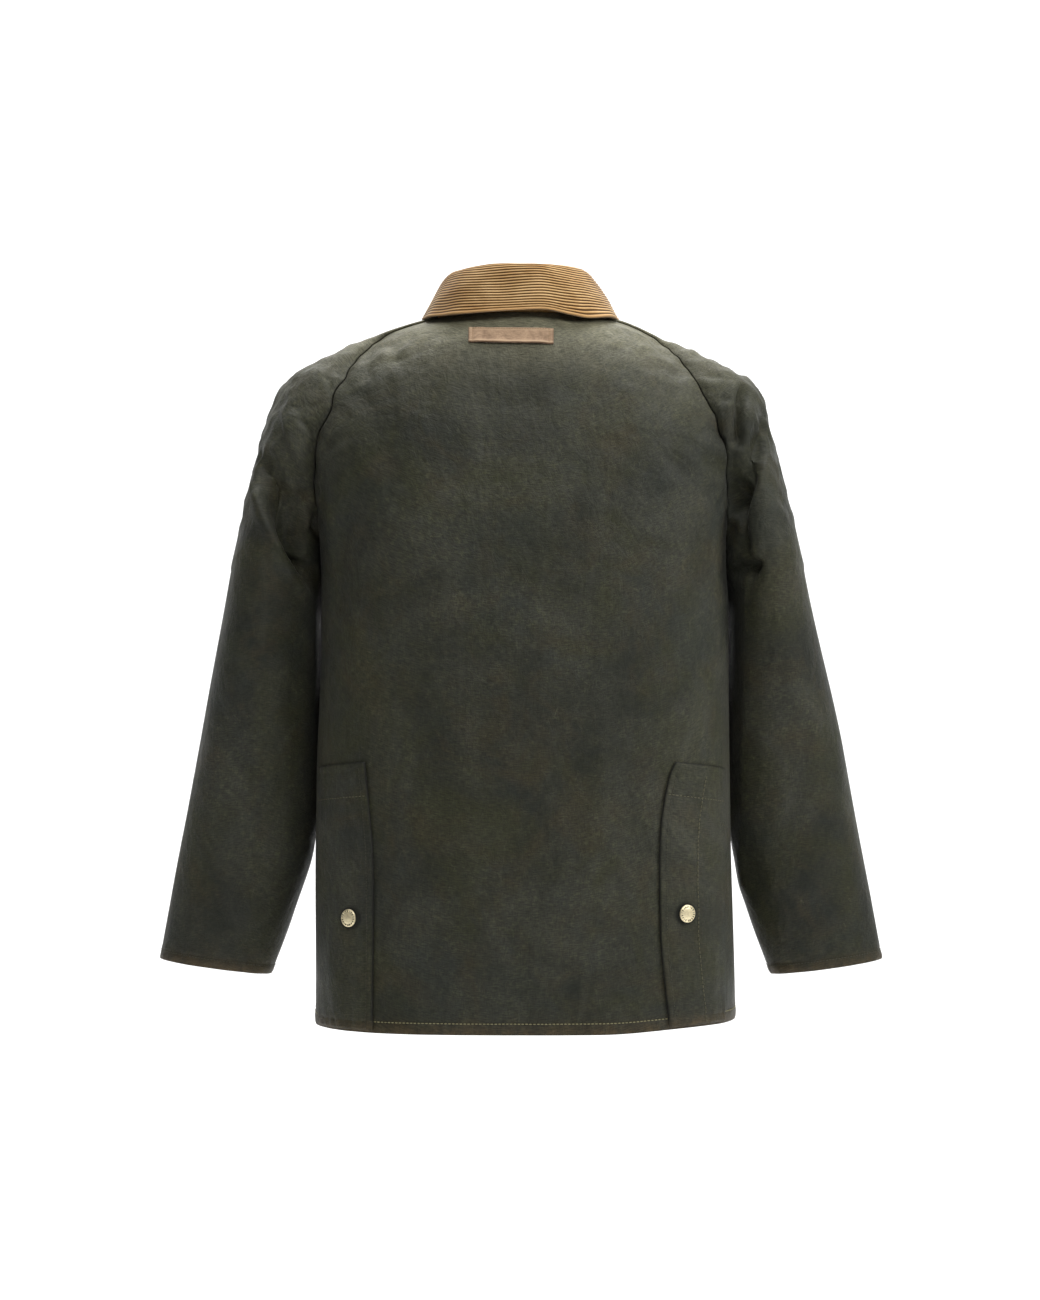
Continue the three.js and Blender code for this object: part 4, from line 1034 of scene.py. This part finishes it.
def collar_wall(raised, under, crest, worn):
    """Closes the collar between its corded face and its plainer inside, with rims that fan between the two."""
    rows, columns, inner = raised.shape[0], raised.shape[1], under.shape[1]
    top = np.arange(rows * columns).reshape(rows, columns)
    low = np.arange(rows * inner).reshape(rows, inner) + rows * columns
    faces = [tuple(q) for q in quads(top)] + [tuple(q) for q in quads(low)[:, ::-1]]
    near = np.minimum(np.round(np.arange(columns) * (inner - 1) / (columns - 1)).astype(int), inner - 1)
    for line, turn in ((0, 1), (rows - 1, -1)):
        for j in range(columns - 1):
            a, b, c, d = top[line, j], top[line, j + 1], low[line, near[j + 1]], low[line, near[j]]
            one = (b, a, d, c) if c != d else (b, a, d)
            faces.append(one if turn > 0 else one[::-1])
    faces += [tuple(q) for q in quads(np.stack([top[:, 0], low[:, 0]]))]
    faces += [tuple(q) for q in quads(np.stack([low[:, -1], top[:, -1]]))]
    points = np.concatenate([raised.reshape(-1, 3), under.reshape(-1, 3)])
    made = object_of("collar_cord", points, faces, CORD)
    plain = np.full(rows * inner, 0.6)
    attribute(made, "crest", np.concatenate([crest.ravel(), plain]))
    attribute(made, "wear", np.concatenate([worn.ravel(), 0 * plain]))
    return made


def on_back(rows, from_column, to_column, columns, lift):
    """A grid that lies on the back between two fractional columns at each fractional row."""
    share = np.linspace(0, 1, columns)[None]
    at = from_column[:, None] * (1 - share) + to_column[:, None] * share
    return BACK.point(rows if rows.ndim == 2 else rows[:, None], at, lift)


def vent_flap(name):
    """The flap over one vent: it lies on the back, and its free edge and its ends are turned in and rounded."""
    side = 1 if name == "left" else -1
    free = through(VENTS, name + "_x")
    last = len(BACK.grid) - 1
    middle = BACK.grid.shape[1] // 2
    near = BACK.column_at([last], side * VENTS[name + "_x"][-1])[0]
    ending = np.interp(-FLAP_END, -BACK.to_hem[:, middle], np.arange(last + 1))
    rows = np.linspace(float(BACK.row_at(near, VENTS["z"][-1])), ending, 170)
    heights = BACK.point(rows, np.full(len(rows), float(middle)))[:, 2]
    free_at = BACK.column_at(rows, side * free(heights))
    sewn_at = BACK.column_at(rows, np.full(len(rows), side * VENT_SEWN_X))
    low, high = (free_at, sewn_at) if side > 0 else (sewn_at, free_at)
    columns = 44
    share = np.linspace(0, 1, columns)[None]
    away = (share if side > 0 else 1 - share) * (1 - np.linspace(0, 1, len(rows))[:, None]) ** 3
    rows = rows[:, None] + FLAP_SLOPE / (BODY_DROP / BODY_ROWS) * away
    flat = on_back(rows, low, high, columns, 0.0)
    panel = Panel(flat)
    to_free = panel.across if side > 0 else panel.across[:, -1:] - panel.across
    ends = np.minimum(panel.down, panel.to_hem)
    edge = np.minimum(to_free, ends)
    roll = 0.9 * (1 - ease(0, 2.2, edge))
    groove = 0.45 * np.exp(-(((edge - 7.5) / 1.5) ** 2))
    pucker = 0.35 * softly(flat, 50 + side, 13) * np.exp(-(((edge - 7.5) / 7) ** 2))
    proud = 1.4 * np.exp(-((to_free / 16) ** 2)) * (0.6 + 0.4 * softly(flat, 53 + side, 120))
    lift = FLAP_LIFT + CLOTH - roll - groove + pucker + np.maximum(proud, 0)
    outer = on_back(rows, low, high, columns, lift)
    inner = on_back(rows, low, high, columns, FLAP_LIFT + np.maximum(proud, 0) * 0.6)
    LAID["flap_" + name] = Panel(outer)
    by_hem = np.exp(-((panel.to_hem / 9) ** 2))
    worn = 0.8 * by_hem
    # Painted shadow along the free edge and the top, where the flap stands off the back; none by the hem.
    dark = 0.9 * np.exp(-((np.minimum(to_free, panel.down) / 1.1) ** 2)) * (1 - by_hem)
    # Painted shadow on the flap round the stud's foot.
    x, z = STUDS[name]
    from_stud = np.hypot(outer[..., 0] - x, outer[..., 2] - z)
    dark = np.maximum(dark, 0.8 * (1 - ease(9.5, 12.5, from_stud)))
    uv = np.stack([panel.across, panel.down], axis=2)
    return wall(f"vent_flap_cloth_{name}", outer, inner, WAX, None, uv, wear=worn, dark=dark)


# Finished faces of the pieces that lie on the jacket, by name
LAID = {}


def stud(name):
    """A pressed brass cap: a profile turned about the stud's middle, with a rolled rim, a shallow groove with a ring
    of small plain marks, and a low dome."""
    x, z = STUDS[name]
    column = np.interp(x, BACK.grid[-1, :, 0], np.arange(BACK.grid.shape[1]))
    row = float(BACK.row_at(column, z))
    column = float(BACK.column_at([row], x)[0])
    here = BACK.point(np.array([row]), np.array([column]))[0]
    out = unit(BACK.point(np.array([row]), np.array([column]), 10.0)[0] - here)
    across = unit(np.array([1.0, 0, 0]) - out * out[0])
    up = np.cross(out, across)
    centre = BACK.point(np.array([row]), np.array([column]), FLAP_LIFT + CLOTH + 0.25)[0]
    profile = np.array([
        (0, 0), (7.6, 0), (8.2, 0.25), (8.5, 0.75), (8.45, 1.3), (8.2, 1.75), (7.8, 2.1), (7.3, 2.3),
        (6.9, 2.35), (6.65, 2.2), (6.4, 2.1), (6.1, 2.1), (5.8, 2.1), (5.55, 2.2), (5.3, 2.4), (4.9, 2.52),
        (3.6, 2.72), (2.4, 2.86), (1.2, 2.97), (0, 3.0),
    ])
    sides = 72
    angle = np.linspace(0, 2 * np.pi, sides, endpoint=False)
    rib = 0.3 * (np.cos(angle * 18) > 0)
    ring = np.exp(-(((profile[:, 0] - 6.5) / 0.9) ** 2)) * (profile[:, 1] > 1)
    radius = STUD_SPREAD * profile[1:-1, 0][:, None]
    height = profile[1:-1, 1][:, None] + rib[None] * ring[1:-1][:, None]
    grid = (
        centre
        + (radius * np.cos(angle))[..., None] * across
        + (radius * np.sin(angle))[..., None] * up
        + height[..., None] * out
    )
    rings = len(grid)
    points = np.concatenate([grid.reshape(-1, 3), [centre, centre + 3.0 * out]])
    index = np.arange(rings * sides).reshape(rings, sides)
    index = np.concatenate([index, index[:, :1]], axis=1)
    foot, top = rings * sides, rings * sides + 1
    faces = [tuple(q) for q in quads(index)]
    faces += [(foot, index[0, k + 1], index[0, k]) for k in range(sides)]
    faces += [(top, index[-1, k], index[-1, k + 1]) for k in range(sides)]
    made = object_of("stud_cap_" + name, points, faces, STUD_BRASS)
    marks = ring[1:-1, None] * (rib[None] == 0)
    # Tarnish in the marks between the ribs, and painted shade low on the rolled rim, where it meets the cloth.
    tarnish_and_foot_shade = np.maximum(marks, np.exp(-((profile[1:-1, 1:] / 0.9) ** 2)))
    attribute(made, "tarnish_and_foot_shade", np.concatenate([tarnish_and_foot_shade.ravel(), [1.0, 0.0]]))
    recalculate(made)
    return made


def label_patch():
    """The bare patch: a strip of woven tape under the collar, folded at its long edges and sewn at its ends."""
    middle = BACK.grid.shape[1] // 2
    top, bottom = [float(BACK.row_at(middle, LABEL[end])) for end in ("top_z", "bottom_z")]
    rows = np.linspace(top, bottom, 30)
    low = BACK.column_at(rows, LABEL["from_x"])
    high = BACK.column_at(rows, LABEL["to_x"])
    rows = rows[:, None] + LABEL["askew"] * np.linspace(1, 0, 90)[None]
    flat = on_back(rows, low, high, 90, 0.0)
    panel = Panel(flat)
    edge = np.minimum(panel.down, panel.to_hem)
    roll = 0.5 * np.exp(-(((edge - 1.2) / 1.0) ** 2)) - 0.35 * (1 - ease(0, 1, edge))
    ends = 0.3 * np.exp(-(((panel.to_side - 4.5) / 1.2) ** 2))
    curl = 1.3 * np.exp(-((panel.to_hem / 4) ** 2)) * ease(3, 14, panel.to_side)
    lift = LABEL["lift"] + LABEL["cloth"] + roll - ends + curl + 0.15 * softly(flat, 60, 14)
    outer = on_back(rows, low, high, 90, lift)
    LAID["label"] = Panel(outer)
    inner = on_back(rows, low, high, 90, LABEL["lift"] + 0.8 * curl)
    worn = 0.7 * np.exp(-(((edge - 2.2) / 1.2) ** 2))
    # Painted shade along the folded bottom edge and, fainter, at the sewn ends.
    dark = np.maximum(0.75 * np.exp(-((panel.to_hem / 1.3) ** 2)), 0.5 * np.exp(-((panel.to_side / 1.2) ** 2)))
    uv = np.stack([panel.across, panel.down], axis=2)
    return wall("label_tape", outer, inner, PATCH, None, uv, wear=worn, dark=dark)


def path_at_hem(panel, distance, first=0, last=None):
    """The line on a panel at a distance from its hem, with the outward directions."""
    columns = np.arange(panel.grid.shape[1])[first:last]
    rows = np.array([np.interp(-distance, -panel.to_hem[:, j], np.arange(len(panel.grid))) for j in columns])
    return path_on(panel, rows, columns.astype(float))


def path_on(panel, rows, columns):
    """Points of a panel at fractional rows and columns, with the outward directions there."""
    here = panel.point(rows, columns)
    return here, unit(panel.point(rows, columns, 10.0) - here)


def path_at_side(panel, distance, far, first=0, last=None):
    """The line on a panel at a distance from its first or its far side seam."""
    rows = np.arange(len(panel.grid))[first:last]
    across = panel.across[rows]
    columns = np.arange(panel.grid.shape[1])
    at = np.array([np.interp(row[-1] - distance if far else distance, row, columns) for row in across])
    return path_on(panel, rows.astype(float), at)


def path_at_top(panel, distance, first=0, last=None):
    """The line on a panel at a distance from its top edge."""
    columns = np.arange(panel.grid.shape[1])[first:last]
    rows = np.array([np.interp(distance, panel.down[:, j], np.arange(len(panel.grid))) for j in columns])
    return path_on(panel, rows, columns.astype(float))


def zip_strip(rows, widths, top, thickness, columns=4):
    """A strip of the zip along the front edges: its place is worked out past the edge of the left front."""
    panel = FRONTS["left"]
    x = np.linspace(widths[0], widths[1], columns)
    edge = panel.flat[:, -1]
    beside = panel.flat[:, -5]
    slope = (edge - beside) / (edge[:, :1] - beside[:, :1])
    base = np.stack([np.interp(rows, np.arange(len(edge)), edge[:, k]) for k in range(3)], axis=1)
    lean = np.stack([np.interp(rows, np.arange(len(edge)), slope[:, k]) for k in range(3)], axis=1)
    middle = base - lean * base[:, :1]
    grid = middle[:, None] + np.abs(x)[None, :, None] * lean[:, None]
    grid[..., 0] = x
    shape = Panel(grid)
    return shape, grid + shape.normals * top, grid + shape.normals * (top - thickness)


def zip_tape_strip(name):
    """One side of the zip's tape, behind the edge of its front."""
    side = 1 if name == "left" else -1
    rows = np.arange(0, len(BACK.grid))
    widths = (12.5, 0.15) if side > 0 else (-0.15, -12.5)
    shape, outer, inner = zip_strip(rows, widths, -CLOTH - SEAM, 0.8, 6)
    LAID["tape_" + name] = shape
    uv = np.stack([shape.across, shape.down], axis=2)
    return wall(f"zip_tape_{name}_cloth", outer, inner, TAPE, None, uv)


def zip_teeth():
    """The closed teeth: small brass blocks that reach over the middle in turn from the left and the right."""
    rows = np.linspace(body_row(0.023), body_row(1.964), 1200)
    shape, outer, _ = zip_strip(rows, (2.6, -2.6), -0.2, 1.8, 3)
    line, out = outer[:, 1], shape.normals[:, 1]
    along = np.concatenate([[0], np.cumsum(np.linalg.norm(np.diff(line, axis=0), axis=1))])
    pitch = 1.45
    count = int(along[-1] / pitch)
    at = (np.arange(count) + 0.5) * pitch
    centre = np.stack([np.interp(at, along, line[:, k]) for k in range(3)], axis=1)
    up = unit(np.stack([np.interp(at - 1, along, line[:, k]) for k in range(3)], axis=1)
              - np.stack([np.interp(at + 1, along, line[:, k]) for k in range(3)], axis=1))
    outward = unit(np.stack([np.interp(at, along, out[:, k]) for k in range(3)], axis=1))
    hand = np.where(np.arange(count) % 2, 1.0, -1.0)
    across = np.array([1.0, 0, 0]) * hand[:, None]
    corner = np.array([(2.6, -1), (2.6, 1), (0.4, 1), (-0.9, 0.55), (-0.9, -0.55), (0.4, -1)])
    half, deep = 0.56, (0.0, -1.5)
    flat = centre[:, None] + across[:, None] * corner[:, :1] + up[:, None] * corner[:, 1:] * half
    points = np.stack([flat + outward[:, None] * depth for depth in deep], axis=1)
    n = len(corner)
    one = [tuple(range(n)), tuple(range(2 * n - 1, n - 1, -1))]
    one += [((k + 1) % n, k, k + n, (k + 1) % n + n) for k in range(n)]
    faces = [tuple(v + 2 * n * k for v in face) for k in range(count) for face in one]
    made = object_of("zip_teeth", points.reshape(-1, 3), faces, ZIP_BRASS, shade=False)
    recalculate(made)
    return made


def paint(node, material):
    """Gives a solid that shows as it is its finish."""
    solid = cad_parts[node]
    solid.data.materials.clear()
    solid.data.materials.append(material)


for name in ("left", "right"):
    flap = vent_flap(name)
    keep(flap, "vent_flap_" + name)
    keep(stud(name), "vent_stud_" + name)
    tape = zip_tape_strip(name)
    keep(tape, "zip_tape_" + name)
cord = collar()
keep(cord, "collar")
patch = label_patch()
keep(patch, "label_patch")
keep(zip_teeth(), "zip_chain")
for node in ("zip_slider", "zip_pull"):
    paint(node, ZIP_BRASS)


def sew(name, path, material, **settings):
    """Adds a row of stitches along a path."""
    return keep(stitches(name, *path, material, **settings))


# How far each seam's stitches lie from their edge
HEM_FOLD = 11.0
CUFF_FOLD = 9.5
VENT_EDGE = 7.5
VENT_HEAD = 34.0
VENT_JOIN = 44.0
LABEL_TOP = 1.9
LABEL_END = 4.5
HEM_STITCH = {"pitch": 3.8, "thick": 0.5}

sew("hem_stitches_back", path_at_hem(BACK, HEM_FOLD, 2, -2), HEM_THREAD, **HEM_STITCH)
for name in ("left", "right"):
    flap = LAID["flap_" + name]
    sew("hem_stitches_front_" + name, path_at_hem(FRONTS[name], HEM_FOLD, 2, -2), HEM_THREAD, **HEM_STITCH)
    sew("cuff_stitches_" + name, path_at_hem(SLEEVES[name], CUFF_FOLD), SEAM_THREAD)
    sew("vent_stitches_" + name, path_at_side(flap, VENT_EDGE, name == "right", 3, -1), SEAM_THREAD)
    sew("vent_head_stitches_" + name, path_at_top(flap, VENT_HEAD, 1, -1), VENT_THREAD, pitch=4.2)
joining = path_at_side(LAID["flap_right"], VENT_JOIN, True, 6, -2)
sew("vent_joining_stitches", joining, VENT_THREAD, pitch=4.2, thick=0.45)
sew("label_stitches_top", path_at_top(LAID["label"], LABEL_TOP, 4, -4), PATCH_THREAD, pitch=2.6, thick=0.3)
for end, far in (("left", True), ("right", False)):
    path = path_at_side(LAID["label"], LABEL_END, far, 1, -1)
    sew("label_stitches_" + end, path, PATCH_THREAD, pitch=2.2, thick=0.3)


def stage():
    """A plain pale sweep, far enough off to stay clear of the jacket: a floor that bends up into a wall."""
    width, floor, back, bend, front = 9.0, -1.45, -2.6, 1.0, 6.0
    turn = np.linspace(0, np.pi / 2, 24)
    y = np.concatenate([[front], back + bend - bend * np.sin(turn), [back]])
    z = np.concatenate([[floor], floor + bend - bend * np.cos(turn), [5.0]])
    line = np.stack([np.zeros_like(y), y, z], axis=1)
    grid = np.stack([line + [-width, 0, 0], line + [width, 0, 0]], axis=1)
    index = np.arange(grid.size // 3).reshape(grid.shape[:2])
    f = Finish("studio_paper")
    f.set(Base_Color=colour("#fbfbfb"), Roughness=0.9)
    made = object_of("studio_sweep", grid.reshape(-1, 3) / MM, quads(index)[:, ::-1], f.material)


def lamp(name, place, aim, size, power):
    """A large soft lamp that faces a point."""
    data = bpy.data.lights.new(name, "AREA")
    data.shape, data.size, data.energy = "SQUARE", size, power
    made = bpy.data.objects.new(name, data)
    made.location = place
    way = Vector(aim) - Vector(place)
    made.rotation_euler = way.to_track_quat("-Z", "Y").to_euler()
    bpy.context.scene.collection.objects.link(made)


def light():
    world = bpy.data.worlds.new("studio")
    bpy.context.scene.world = world
    world.use_nodes = True
    world.node_tree.nodes["Background"].inputs["Color"].default_value = colour("#ffffff")
    world.node_tree.nodes["Background"].inputs["Strength"].default_value = 0.2
    middle = (0, 0, -0.35)
    lamp("above", (-0.35, 1.75, 1.5), (0, 0.1, -0.1), 0.9, 28)
    lamp("side", (-2.3, 0.95, 1.1), middle, 1.0, 42)
    lamp("paper", (0, -0.9, 3.4), (0, -3.2, -0.6), 3.0, 230)
    bpy.context.scene.view_settings.view_transform = "Standard"


def camera():
    """The photograph's view: level, from behind, with the height of the jacket's middle."""
    data = bpy.data.cameras.new("camera")
    data.sensor_fit, data.sensor_height = "VERTICAL", 36.0
    distance, seen = 3.5, 1.326
    data.lens = data.sensor_height * distance / seen
    made = bpy.data.objects.new("camera", data)
    made.location = (0.001, distance, -0.3346)
    made.rotation_euler = (math.radians(90), 0, math.radians(180))
    bpy.context.scene.collection.objects.link(made)
    bpy.context.scene.camera = made


stage()
light()
camera()
